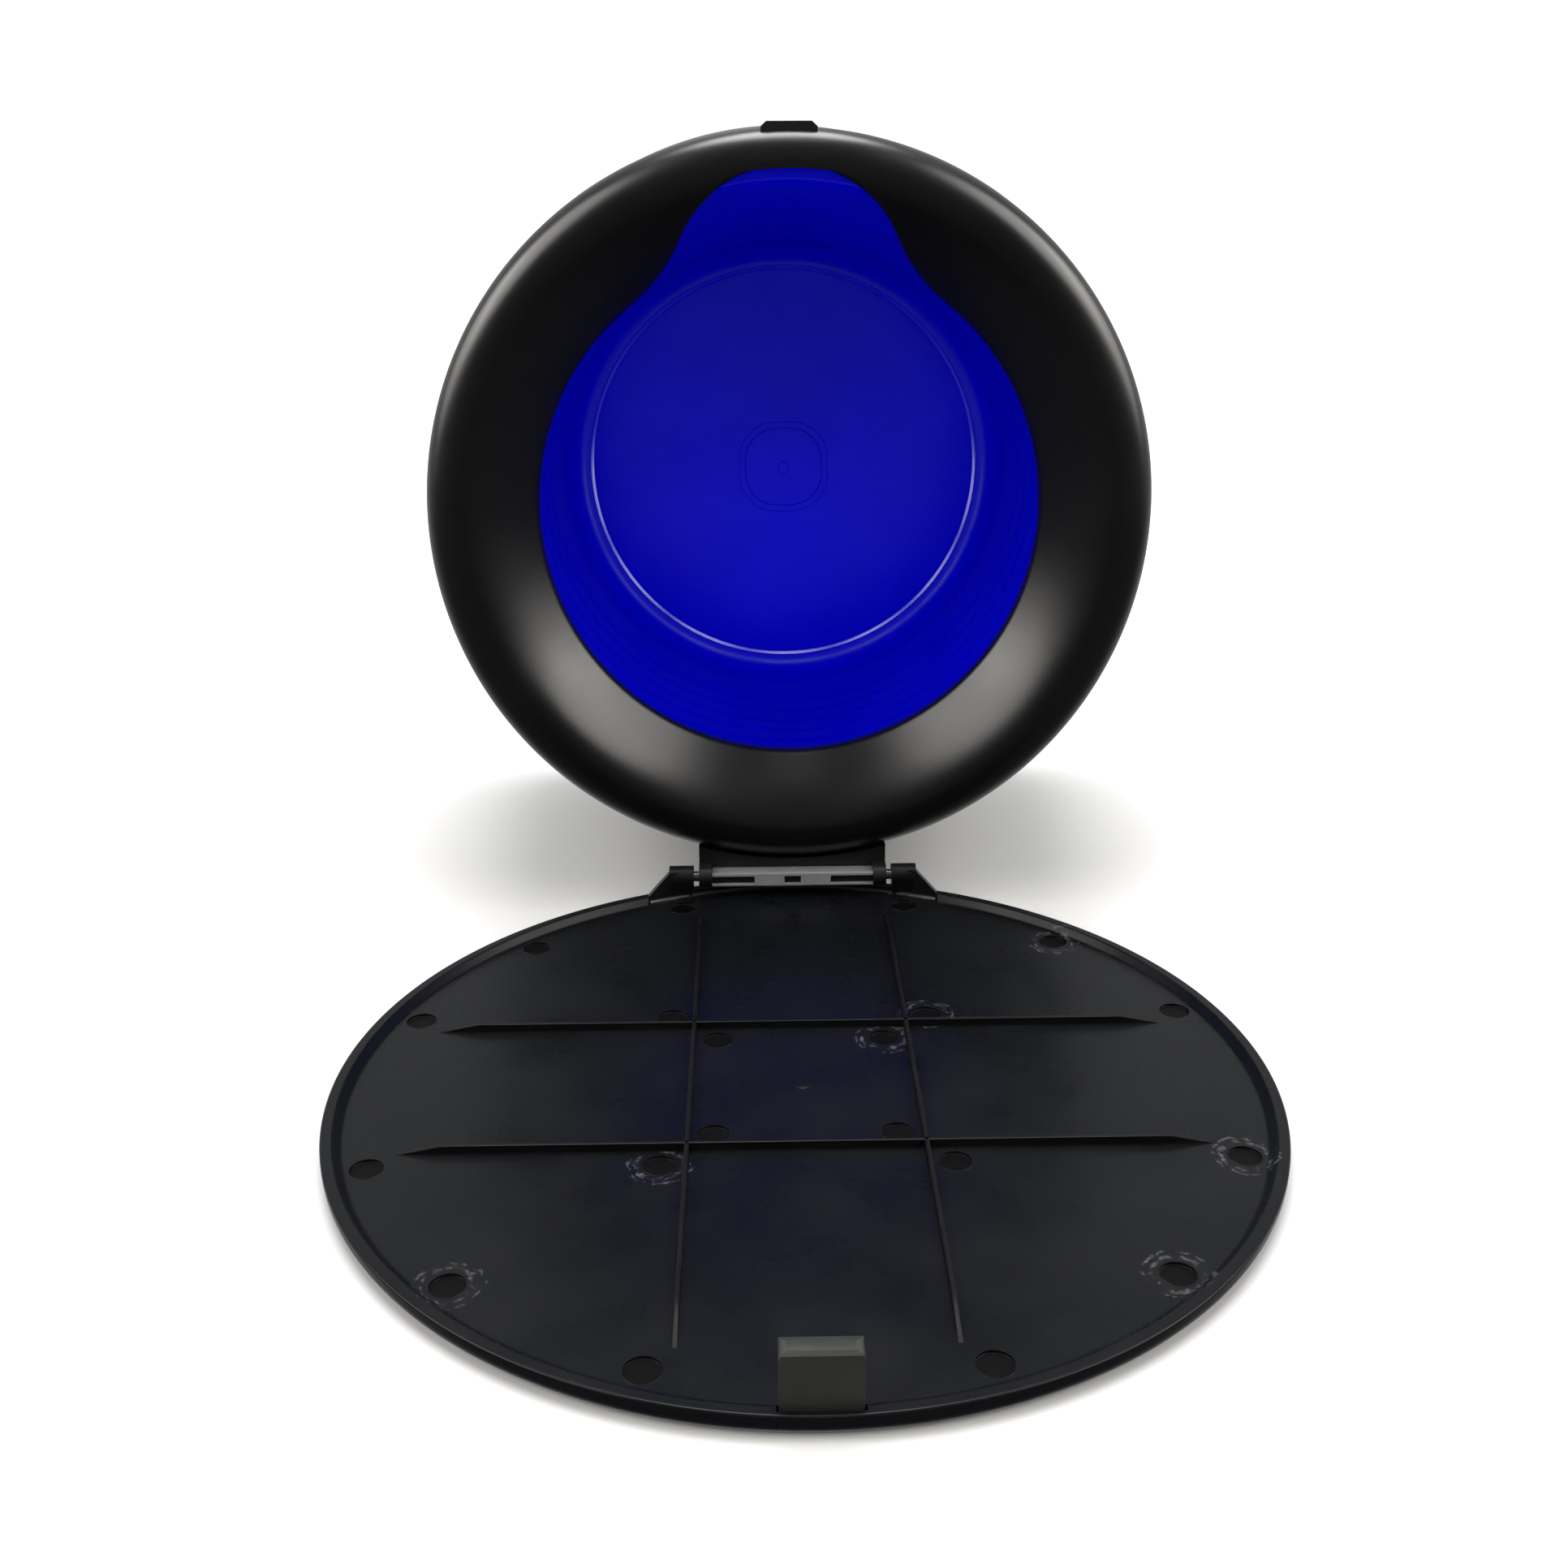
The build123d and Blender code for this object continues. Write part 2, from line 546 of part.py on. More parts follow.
# ---------------------------------------------------------------- base plate
with BuildPart() as base_plate:
    with BuildSketch(front_plane.offset(-plate_back)):
        Circle(inner_base_radius - base_plate_gap)
        with PolarLocations(boss_ring, len(base_screw_angles)):
            Circle(screw_radius + screw_hole_clearance, mode=Mode.SUBTRACT)
    extrude(amount=base_plate_thickness)
    with BuildSketch(front_plane.offset(-plate_front)):
        for rib_radius in backing_rib_radii:
            Circle(rib_radius + backing_rib_width / 2)
            Circle(rib_radius - backing_rib_width / 2, mode=Mode.SUBTRACT)
    extrude(amount=plate_front - bowl_bottom)
    with BuildSketch(front_plane.offset(-plate_back)):
        with PolarLocations(foot_ring, len(foot_angles), start_angle=foot_angles[0]):
            Circle(foot_radius)
    extrude(amount=foot_sink, mode=Mode.SUBTRACT)
write_part(base_plate, "base_plate")

# ---------------------------------------------------------------- feet
for number, angle in enumerate(foot_angles, start=1):
    with BuildPart() as foot:
        with BuildSketch(front_plane.offset(foot_sink - plate_back)):
            with PolarLocations(foot_ring, 1, start_angle=angle):
                Circle(foot_radius)
        extrude(amount=-foot_height)
        fillet(foot.faces().filter_by(GeomType.PLANE).sort_by(bowl_axis)[0].edges(), foot_round)
    write_part(foot, "foot_" + str(number))

# ---------------------------------------------------------------- hinge arm
with BuildPart() as hinge_arm:
    with BuildSketch(arm_plane):
        Polygon((arm_front, -arm_heel), (arm_heel_end, -arm_heel), (arm_knee[0], -arm_knee[1]),
                (arm_length, arm_top_above), (arm_length, arm_top),
                (arm_front, arm_top), align=None)
    extrude(amount=ear_outer, both=True)
    for side in (-1, 1):
        with BuildSketch(arm_plane.offset(side * (ear_inner + ear_outer) / 2)):
            Circle(ear_radius)
            with Locations((arm_front / 2, 0)):
                Rectangle(arm_front, 2 * ear_radius)
        extrude(amount=ear_thickness / 2, both=True)
    # the top follows the collar's skirt and the shell
    with BuildSketch(section_plane):
        with BuildLine():
            outside = shell_side(arm_seat_gap, shell_top, edge_start)
            Polyline(outside @ 1, (0, -edge_start), (0, crest_height), (collar_radius + arm_seat_gap, crest_height),
                     outside @ 0)
        make_face()
    revolve(axis=bowl_axis, mode=Mode.SUBTRACT)
    with BuildSketch(hinge_plane):
        Circle(pin_radius + pin_running_clearance)
    extrude(amount=ear_outer, both=True, mode=Mode.SUBTRACT)
    for side in (-1, 1):
        with BuildSketch(arm_screw_plane(side)):
            Circle(screw_radius + screw_thread_gap)
        extrude(amount=-arm_screw_length, mode=Mode.SUBTRACT)
write_part(hinge_arm, "hinge_arm")

# ---------------------------------------------------------------- hinge bar
with BuildPart() as hinge_bar:
    with BuildSketch(arm_plane):
        Polygon((-bar_front, -bar_bottom), (arm_front, -bar_bottom), (arm_front, bar_top),
                (-bar_front, bar_top), align=None)
    extrude(amount=ear_inner, both=True)
    fillet(hinge_bar.edges().filter_by(Axis.X).group_by(Axis(hinge_point, mouth_dir))[-1], bar_round)
    with BuildSketch(Plane(origin=hinge_point, x_dir=(1, 0, 0), z_dir=mouth_dir).offset(bar_front)):
        middle = (bar_pocket_high - bar_pocket_low) / 2
        tall = bar_pocket_high + bar_pocket_low
        for side in (-1, 1):
            with Locations((side * (ear_inner - bar_pocket_width / 2), middle)):
                Rectangle(bar_pocket_width, tall)
        with Locations((0, middle)):
            Rectangle(bar_hole_width, tall)
    extrude(amount=-bar_pocket_depth, mode=Mode.SUBTRACT)
write_part(hinge_bar, "hinge_bar")

# ---------------------------------------------------------------- screws
def screw_set(seats, length):
    # a screw on each seat plane, its head on the plane's upper side and its shank below it
    with BuildPart() as screws:
        for seat in seats:
            with BuildSketch(seat):
                Circle(screw_head_radius)
            extrude(amount=screw_head_height)
            with BuildSketch(seat):
                Circle(screw_radius)
            extrude(amount=-length)
            with BuildSketch(seat.offset(screw_head_height)):
                RegularPolygon(screw_socket, 6)
            extrude(amount=-screw_socket_depth, mode=Mode.SUBTRACT)
    return screws


write_part(screw_set([arm_screw_plane(-1), arm_screw_plane(1)], arm_screw_length), "arm_screws")

base_screw_planes = []
for angle in base_screw_angles:
    turn = math.radians(angle)
    place = Vector(1, 0, 0) * math.cos(turn) + head_up * math.sin(turn)
    base_screw_planes.append(Plane(origin=head_centre - mouth_dir * plate_back + place * boss_ring,
                                   x_dir=(1, 0, 0), z_dir=-mouth_dir))
write_part(screw_set(base_screw_planes, base_screw_length), "base_screws")
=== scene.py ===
import json
import math
import bmesh
import bpy
import numpy as np
from mathutils import Matrix, Vector


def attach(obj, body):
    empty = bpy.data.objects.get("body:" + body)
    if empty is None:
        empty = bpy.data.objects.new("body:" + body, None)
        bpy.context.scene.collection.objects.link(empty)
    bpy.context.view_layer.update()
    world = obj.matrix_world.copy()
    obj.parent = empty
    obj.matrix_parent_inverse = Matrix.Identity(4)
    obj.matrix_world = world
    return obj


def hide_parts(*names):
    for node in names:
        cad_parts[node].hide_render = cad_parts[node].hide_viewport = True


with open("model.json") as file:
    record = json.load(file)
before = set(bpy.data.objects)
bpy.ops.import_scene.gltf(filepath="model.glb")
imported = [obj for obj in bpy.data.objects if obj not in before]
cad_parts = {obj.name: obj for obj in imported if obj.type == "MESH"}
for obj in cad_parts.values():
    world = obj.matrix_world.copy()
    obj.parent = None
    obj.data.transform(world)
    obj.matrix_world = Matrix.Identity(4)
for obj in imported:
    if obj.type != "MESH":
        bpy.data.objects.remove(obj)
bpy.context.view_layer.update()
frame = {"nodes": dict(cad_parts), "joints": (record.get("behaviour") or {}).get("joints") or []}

# A crushing bowl standing open on its hinged lid. Sizes in the dictionaries are millimetres.
mm = 0.001

headHinge = next(joint for joint in frame["joints"] if joint["name"] == "head_hinge")
lean = math.radians(headHinge["range_deg"][1] - 90)       # the open head leans back by this
headUp = Vector((0, math.sin(lean), math.cos(lean)))
mouthOut = Vector((0, -math.cos(lean), math.sin(lean)))
headStand = {"hingeToBowl": 85.6, "collarAboveHinge": 2.7}
headReach = headUp * headStand["hingeToBowl"] - mouthOut * headStand["collarAboveHinge"]
headCentre = Vector(headHinge["pos_m"]) + headReach * mm
headTurn = Matrix((Vector((1, 0, 0)), headUp, mouthOut)).transposed()

# in the head's own space x runs along the hinge, y up the head and z out of the mouth, in millimetres
headSpace = Matrix.Translation(headCentre) @ headTurn.to_4x4() @ Matrix.Scale(mm, 4)
lidSpace = Matrix.Scale(mm, 4)


# small helpers
def hexColour(code):  # sRGB hex to linear RGBA
    parts = [int(code[i:i + 2], 16) / 255 for i in (0, 2, 4)]
    return (*[p / 12.92 if p <= 0.04045 else ((p + 0.055) / 1.055) ** 2.4 for p in parts], 1.0)


def addNode(tree, kind, settings=None, sockets=None):  # one node, with its settings and its links or values
    node = tree.nodes.new(kind)
    for name, value in (settings or {}).items():
        setattr(node, name, value)
    for name, value in (sockets or {}).items():
        if isinstance(value, bpy.types.NodeSocket):
            tree.links.new(value, node.inputs[name])
        else:
            node.inputs[name].default_value = value
    return node


def addPiece(name, mesh, sharpAngle=38):  # clean the mesh, set its shading and put it in the scene
    work = bmesh.new()
    work.from_mesh(mesh)
    bmesh.ops.remove_doubles(work, verts=work.verts, dist=1e-7)
    bmesh.ops.recalc_face_normals(work, faces=work.faces)
    work.to_mesh(mesh)
    work.free()
    mesh.polygons.foreach_set("use_smooth", [True] * len(mesh.polygons))
    mesh.set_sharp_from_angle(angle=math.radians(sharpAngle))
    piece = bpy.data.objects.new(name, mesh)
    bpy.context.scene.collection.objects.link(piece)
    return piece


def joinRings(rings, closed=False, caps=False):  # points and faces between rings; one point alone is a pole
    points, starts, faces = [], [], []
    for ring in rings:
        starts.append(len(points))
        points.extend(ring)
    pairs = list(zip(range(len(rings) - 1), range(1, len(rings))))
    if closed:
        pairs.append((len(rings) - 1, 0))
    for a, b in pairs:
        countA, countB = len(rings[a]), len(rings[b])
        count = max(countA, countB)
        for i in range(count):
            k = (i + 1) % count
            if countA == 1:
                faces.append((starts[a], starts[b] + i, starts[b] + k))
            elif countB == 1:
                faces.append((starts[a] + i, starts[a] + k, starts[b]))
            else:
                faces.append((starts[a] + i, starts[a] + k, starts[b] + k, starts[b] + i))
    if caps:
        faces.append(tuple(range(len(rings[0])))[::-1])
        faces.append(tuple(range(starts[-1], starts[-1] + len(rings[-1]))))
    return points, faces


def ringMesh(name, rings, space, closed=False, caps=False):
    points, faces = joinRings(rings, closed, caps)
    mesh = bpy.data.meshes.new(name)
    mesh.from_pydata([space @ Vector(p) for p in points], [], faces)
    return mesh


def roundedLine(corners, closed=False, step=10, guard=0.12):
    # (x, y, radius) corners to points; each arc gets a guard point on the straight beside it, so flats shade flat
    made, count = [], len(corners)
    for i, (x, y, radius) in enumerate(corners):
        here = Vector((x, y))
        if radius <= 0 or (not closed and i in (0, count - 1)):
            made.append((x, y))
            continue
        before, after = (Vector(corners[(i + d) % count][:2]) for d in (-1, 1))
        into, out = (here - before).normalized(), (after - here).normalized()
        turn = math.atan2(into.x * out.y - into.y * out.x, into.dot(out))
        if abs(turn) < 1e-4:
            made.append((x, y))
            continue
        reach = radius * math.tan(abs(turn) / 2)
        side = math.copysign(1, turn)
        centre = here - into * reach + Vector((-into.y, into.x)) * side * radius
        first = here - into * reach - centre
        made.append(tuple(here - into * (reach + guard)))
        pieces = max(3, math.ceil(abs(math.degrees(turn)) / step))
        for k in range(pieces + 1):
            a = turn * k / pieces
            made.append((centre.x + first.x * math.cos(a) - first.y * math.sin(a),
                         centre.y + first.x * math.sin(a) + first.y * math.cos(a)))
        made.append(tuple(here + out * (reach + guard)))
    return made


def hermiteLine(start, end, startPull, endPull, count):  # a smooth line with a given pull at each end
    made = []
    for k in range(count + 1):
        s = k / count
        w = (2 * s ** 3 - 3 * s ** 2 + 1, s ** 3 - 2 * s ** 2 + s, -2 * s ** 3 + 3 * s ** 2, s ** 3 - s ** 2)
        made.append(tuple(w[0] * start[i] + w[1] * startPull[i] + w[2] * end[i] + w[3] * endPull[i]
                          for i in (0, 1)))
    return made


def turnedRings(line, steps=288, shape=None):  # each point of the line swept round the axis
    rings = []
    for radius, out in line:
        if radius < 1e-6:
            rings.append([(0, 0, out)])
            continue
        ring = []
        for k in range(steps):
            angle = 2 * math.pi * k / steps
            r = shape(radius, angle) if shape else radius
            ring.append((r * math.cos(angle), r * math.sin(angle), out))
        rings.append(ring)
    return rings


def turnedTemplate(name, line, steps, shape=None, closed=False):  # a small turned piece, still in millimetres
    return addPiece(name, ringMesh(name, turnedRings(line, steps, shape), Matrix(), closed))


def evaluatedMesh(piece):  # the piece with its modifiers, as a plain mesh
    bpy.context.view_layer.update()
    return bpy.data.meshes.new_from_object(piece.evaluated_get(bpy.context.evaluated_depsgraph_get()))


def dropPiece(piece):
    bpy.data.objects.remove(piece, do_unlink=True)


def cutAway(piece, cutter):  # take the cutter's solid out of the piece
    cut = piece.modifiers.new("cut", "BOOLEAN")
    cut.object, cut.operation, cut.solver = cutter, "DIFFERENCE", "EXACT"
    mesh = evaluatedMesh(piece)
    piece.modifiers.clear()
    piece.data = mesh
    dropPiece(cutter)


def softEdged(node, name, width, segments=3):  # a CAD node with its edges rounded as moulding leaves them
    mesh = frame["nodes"][node].data.copy()
    work = bmesh.new()
    work.from_mesh(mesh)
    bmesh.ops.remove_doubles(work, verts=work.verts, dist=2e-6)
    bmesh.ops.dissolve_limit(work, angle_limit=math.radians(0.5), verts=work.verts, edges=work.edges)
    work.to_mesh(mesh)
    work.free()
    mesh.materials.clear()
    piece = addPiece(name + "Rough", mesh)
    bevel = piece.modifiers.new("edges", "BEVEL")
    bevel.width, bevel.segments, bevel.limit_method = width * mm, segments, "ANGLE"
    bevel.angle_limit = math.radians(32)
    bevel.use_clamp_overlap = True
    weighted = piece.modifiers.new("normals", "WEIGHTED_NORMAL")
    weighted.keep_sharp = True
    finished = evaluatedMesh(piece)
    dropPiece(piece)
    finished.name = name
    made = bpy.data.objects.new(name, finished)
    bpy.context.scene.collection.objects.link(made)
    return made


def rideAs(piece, body, slotName, material, *nodes):  # the piece's finish, body and the CAD nodes it stands for
    piece.data.materials.clear()
    piece.data.materials.append(material)
    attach(piece, body)
    if nodes:
        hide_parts(*nodes)
    return piece


# one Geometry Nodes tree sets a small template on every point of a mesh
def makeSetterTree():
    tree = bpy.data.node_groups.new("setOnPoints", "GeometryNodeTree")
    wanted = (("Geometry", "NodeSocketGeometry"), ("Template", "NodeSocketObject"), ("Twist", "NodeSocketFloat"),
              ("Seed", "NodeSocketInt"), ("Finish", "NodeSocketMaterial"))
    for name, kind in wanted:
        tree.interface.new_socket(name, in_out="INPUT", socket_type=kind)
    tree.interface.new_socket("Geometry", in_out="OUTPUT", socket_type="NodeSocketGeometry")
    given = addNode(tree, "NodeGroupInput")
    template = addNode(tree, "GeometryNodeObjectInfo", {"transform_space": "ORIGINAL"},
                       {"Object": given.outputs["Template"]})
    turn = addNode(tree, "GeometryNodeInputNamedAttribute", {"data_type": "FLOAT"}, {"Name": "turn"})
    loose = addNode(tree, "FunctionNodeRandomValue", {"data_type": "FLOAT"},
                    {2: 0.0, 3: given.outputs["Twist"], "Seed": given.outputs["Seed"]})
    angle = addNode(tree, "ShaderNodeMath", {"operation": "ADD"},
                    {0: turn.outputs["Attribute"], 1: loose.outputs[1]})
    rotation = addNode(tree, "ShaderNodeCombineXYZ", None, {"Z": angle.outputs[0]})
    placed = addNode(tree, "GeometryNodeInstanceOnPoints", None,
                     {"Points": given.outputs["Geometry"], "Instance": template.outputs["Geometry"],
                      "Rotation": rotation.outputs[0]})
    real = addNode(tree, "GeometryNodeRealizeInstances", None, {"Geometry": placed.outputs["Instances"]})
    painted = addNode(tree, "GeometryNodeSetMaterial", None,
                      {"Geometry": real.outputs["Geometry"], "Material": given.outputs["Finish"]})
    addNode(tree, "NodeGroupOutput", None, {"Geometry": painted.outputs["Geometry"]})
    return tree


setterTree = makeSetterTree()


def setOnPoints(name, template, places, space, finish, twist=0.0, seed=1):
    # places are (x, y, z, turn); the template is used up
    mesh = bpy.data.meshes.new(name + "Points")
    mesh.from_pydata([p[:3] for p in places], [], [])
    mesh.attributes.new("turn", "FLOAT", "POINT").data.foreach_set("value", [p[3] for p in places])
    holder = bpy.data.objects.new(name + "Points", mesh)
    bpy.context.scene.collection.objects.link(holder)
    modifier = holder.modifiers.new("set", "NODES")
    modifier.node_group = setterTree
    inputs = {item.name: item.identifier for item in setterTree.interface.items_tree if item.in_out == "INPUT"}
    modifier[inputs["Template"]] = template
    modifier[inputs["Twist"]] = twist
    modifier[inputs["Seed"]] = seed
    modifier[inputs["Finish"]] = finish
    holder.update_tag()
    made = evaluatedMesh(holder)
    made.transform(space)
    dropPiece(holder)
    dropPiece(template)
    made.name = name
    return addPiece(name, made)


# finishes
# Each plastic starts from its grade and how it was moulded. grain is the etched texture of the tool, mottle the
# slow change of gloss where the melt cooled at different rates, scuff the fine rubs of handling.
def mouldedPlastic(name, look):
    material = bpy.data.materials.new(name)
    material.use_nodes = True
    tree = material.node_tree
    tree.nodes.clear()
    place = addNode(tree, "ShaderNodeTexCoord").outputs["Object"]
    grain = addNode(tree, "ShaderNodeTexNoise", None,
                    {"Vector": place, "Scale": 1 / (look["grain"] * mm), "Detail": 3.0, "Roughness": 0.55})
    mottle = addNode(tree, "ShaderNodeTexNoise", None,
                     {"Vector": place, "Scale": 1 / (look["mottle"] * mm), "Detail": 4.0, "Roughness": 0.6})
    rubs = []
    for turn, stretch in ((0.5, 0.05), (-0.9, 0.035)):
        streak = addNode(tree, "ShaderNodeMapping", None,
                         {"Vector": place, "Rotation": (0.2, 0.3, turn), "Scale": (stretch, 1, 1)})
        noise = addNode(tree, "ShaderNodeTexNoise", None,
                        {"Vector": streak.outputs[0], "Scale": 1 / (look["scuff"] * mm), "Detail": 2.0})
        thin = addNode(tree, "ShaderNodeMapRange", {"clamp": True},
                       {"Value": noise.outputs[0], "From Min": 0.68, "From Max": 0.8, "To Max": 1.0})
        rubs.append(thin.outputs[0])
    anyRub = addNode(tree, "ShaderNodeMath", {"operation": "MAXIMUM"}, {0: rubs[0], 1: rubs[1]})
    patchy = addNode(tree, "ShaderNodeMapRange", {"clamp": True},
                     {"Value": mottle.outputs[0], "From Min": 0.42, "From Max": 0.66,
                      "To Max": look["scuffAmount"]})
    rub = addNode(tree, "ShaderNodeMath", {"operation": "MULTIPLY"}, {0: anyRub.outputs[0], 1: patchy.outputs[0]})
    colour = addNode(tree, "ShaderNodeMix", {"data_type": "RGBA"},
                     {0: mottle.outputs[0], 6: hexColour(look["dark"]), 7: hexColour(look["light"])})
    worn = addNode(tree, "ShaderNodeMix", {"data_type": "RGBA"},
                   {0: rub.outputs[0], 6: colour.outputs[2], 7: hexColour(look["rubbed"])})
    gloss = addNode(tree, "ShaderNodeMapRange", {"clamp": True},
                    {"Value": mottle.outputs[0], "From Min": 0.3, "From Max": 0.7,
                     "To Min": look["rough"][0], "To Max": look["rough"][1]})
    rough = addNode(tree, "ShaderNodeMath", {"operation": "MULTIPLY_ADD"},
                    {0: rub.outputs[0], 1: 0.25, 2: gloss.outputs[0]})
    height = addNode(tree, "ShaderNodeMath", {"operation": "MULTIPLY_ADD"},
                     {0: rub.outputs[0], 1: -0.6, 2: grain.outputs[0]})
    bump = addNode(tree, "ShaderNodeBump", None,
                   {"Strength": look["bump"], "Distance": look["grain"] * mm * 0.25, "Height": height.outputs[0]})
    shader = addNode(tree, "ShaderNodeBsdfPrincipled", None,
                     {"Base Color": worn.outputs[2], "Roughness": rough.outputs[0], "IOR": look["ior"],
                      "Specular IOR Level": look.get("specular", 0.5), "Normal": bump.outputs[0]})
    addNode(tree, "ShaderNodeOutputMaterial", None, {"Surface": shader.outputs[0]})
    return material, tree, {"place": place, "colour": worn, "shader": shader, "bump": bump, "height": height}


plasticLooks = {
    # injection-moulded black ABS, fine etched face: soft satin sheen at a low angle
    "lidAbs": {"dark": "08090B", "light": "0C0D0F", "rubbed": "5A5C60", "grain": 0.5, "mottle": 20, "scuff": 0.5,
               "scuffAmount": 0.03, "rough": (0.22, 0.36), "bump": 0.05, "ior": 1.5, "specular": 0.14},
    # the same black ABS on the ribs, painted darker and with almost no sheen: painted shade on their narrow sides
    "ribAbsShaded": {"dark": "040405", "light": "070708", "rubbed": "3A3B3E", "grain": 0.4, "mottle": 12, "scuff": 0.5,
               "scuffAmount": 0.05, "rough": (0.4, 0.5), "bump": 0.08, "ior": 1.5, "specular": 0.15},
    # the lid's black ABS again, darker and with less sheen, on the pins' faces at the bottom of the marks: painted
    # shade
    "pinFaceAbsShaded": {"dark": "020202", "light": "050506", "rubbed": "2A2A2C", "grain": 0.4, "mottle": 6, "scuff": 0.5,
                   "scuffAmount": 0.1, "rough": (0.45, 0.55), "bump": 0.1, "ior": 1.5, "specular": 0.06},
    "bracketAbs": {"dark": "050506", "light": "09090A", "rubbed": "4A4B4E", "grain": 0.4, "mottle": 9, "scuff": 0.4,
                   "scuffAmount": 0.12, "rough": (0.36, 0.5), "bump": 0.2, "ior": 1.5, "specular": 0.35},
    # the bracket's own ABS in its polished corner: a clear line of light from the lamps, and a slightly lighter
    # colour as a painted highlight
    "bracketFootAbsLit": {"dark": "0A0A0B", "light": "101011", "rubbed": "5A5B5E", "grain": 0.4, "mottle": 9,
                       "scuff": 0.4, "scuffAmount": 0.05, "rough": (0.24, 0.3), "bump": 0.04, "ior": 1.55,
                       "specular": 0.8},
    # black polypropylene that bends without cracking: waxy and matt
    "tonguePolypropylene": {"dark": "1F211C", "light": "2A2C27", "rubbed": "6F716B", "grain": 0.35, "mottle": 5,
                            "scuff": 0.35, "scuffAmount": 0.15, "rough": (0.42, 0.55), "bump": 0.2, "ior": 1.49},
    # polished black ABS: clear reflections with a little orange peel
    "collarAbs": {"dark": "060608", "light": "09090B", "rubbed": "4C4D50", "grain": 1.6, "mottle": 26, "scuff": 0.45,
                  "scuffAmount": 0.05, "rough": (0.27, 0.33), "bump": 0.03, "ior": 1.53},
    "shellAbs": {"dark": "0B0B0D", "light": "121315", "rubbed": "5C5D60", "grain": 0.5, "mottle": 30, "scuff": 0.5,
                 "scuffAmount": 0.12, "rough": (0.3, 0.42), "bump": 0.15, "ior": 1.5},
    "baseAbs": {"dark": "0D0D0F", "light": "151618", "rubbed": "606164", "grain": 0.6, "mottle": 18, "scuff": 0.5,
                "scuffAmount": 0.3, "rough": (0.45, 0.6), "bump": 0.35, "ior": 1.5},
    # glass-filled nylon: tough, matt, with faint fibre streaks
    "armNylon": {"dark": "050506", "light": "09090A", "rubbed": "4C4D50", "grain": 0.35, "mottle": 6, "scuff": 0.3,
                 "scuffAmount": 0.2, "rough": (0.4, 0.52), "bump": 0.25, "ior": 1.53},
    "barNylon": {"dark": "6A6A6C", "light": "7A7A7C", "rubbed": "8A8A88", "grain": 0.3, "mottle": 4, "scuff": 0.3,
                 "scuffAmount": 0.2, "rough": (0.4, 0.52), "bump": 0.2, "ior": 1.53},
    # black rubber: dead matt with a fine tooth
    "footRubber": {"dark": "0F0F10", "light": "181819", "rubbed": "4E4E4D", "grain": 0.3, "mottle": 4, "scuff": 0.4,
                   "scuffAmount": 0.4, "rough": (0.72, 0.85), "bump": 0.5, "ior": 1.52, "specular": 0.3},
    "sealRubber": {"dark": "0C0C0D", "light": "131314", "rubbed": "3A3A3A", "grain": 0.25, "mottle": 5, "scuff": 0.3,
                   "scuffAmount": 0.2, "rough": (0.6, 0.72), "bump": 0.4, "ior": 1.52, "specular": 0.3},
    # deep blue polypropylene, polished inside: saturated colour, gentle gloss
    "bowlPolypropylene": {"dark": "0000C2", "light": "0000D6", "rubbed": "0A14F0", "grain": 1.2, "mottle": 24,
                          "scuff": 0.45, "scuffAmount": 0.05, "rough": (0.2, 0.27), "bump": 0.04, "ior": 1.49,
                          "specular": 0.12},
    # the same blue where the tool's corner insert was polished: a clear line of light from the lamps, and a slightly
    # lighter blue as a painted highlight
    "bowlEdgePolypropyleneLit": {"dark": "0000D2", "light": "0000E6", "rubbed": "0A14F0", "grain": 1.2, "mottle": 24,
                              "scuff": 0.45, "scuffAmount": 0.02, "rough": (0.14, 0.2), "bump": 0.02, "ior": 1.52,
                              "specular": 0.8},
}
plastics = {name: mouldedPlastic(name, look) for name, look in plasticLooks.items()}


def finishOf(name):
    return plastics[name][0]


def addTurningRings(name, ringLook):  # faint rings that the cutter left in the mould, about the bowl's axis
    material, tree, parts = plastics[name]
    local = addNode(tree, "ShaderNodeMapping", {"vector_type": "TEXTURE"},
                    {"Vector": parts["place"], "Location": headCentre, "Rotation": headTurn.to_euler()})
    wave = addNode(tree, "ShaderNodeTexWave",
                   {"wave_type": "RINGS", "rings_direction": "Z", "wave_profile": "SIN"},
                   {"Vector": local.outputs[0], "Scale": 0.314 / (ringLook["pitch"] * mm), "Distortion": 0.4,
                    "Detail": 1.0, "Detail Scale": 2.0})
    height = addNode(tree, "ShaderNodeMath", {"operation": "MULTIPLY_ADD"},
                     {0: wave.outputs["Fac"], 1: ringLook["share"], 2: parts["height"].outputs[0]})
    tree.links.new(height.outputs[0], parts["bump"].inputs["Height"])


addTurningRings("bowlPolypropylene", {"pitch": 1.3, "share": 0.35})


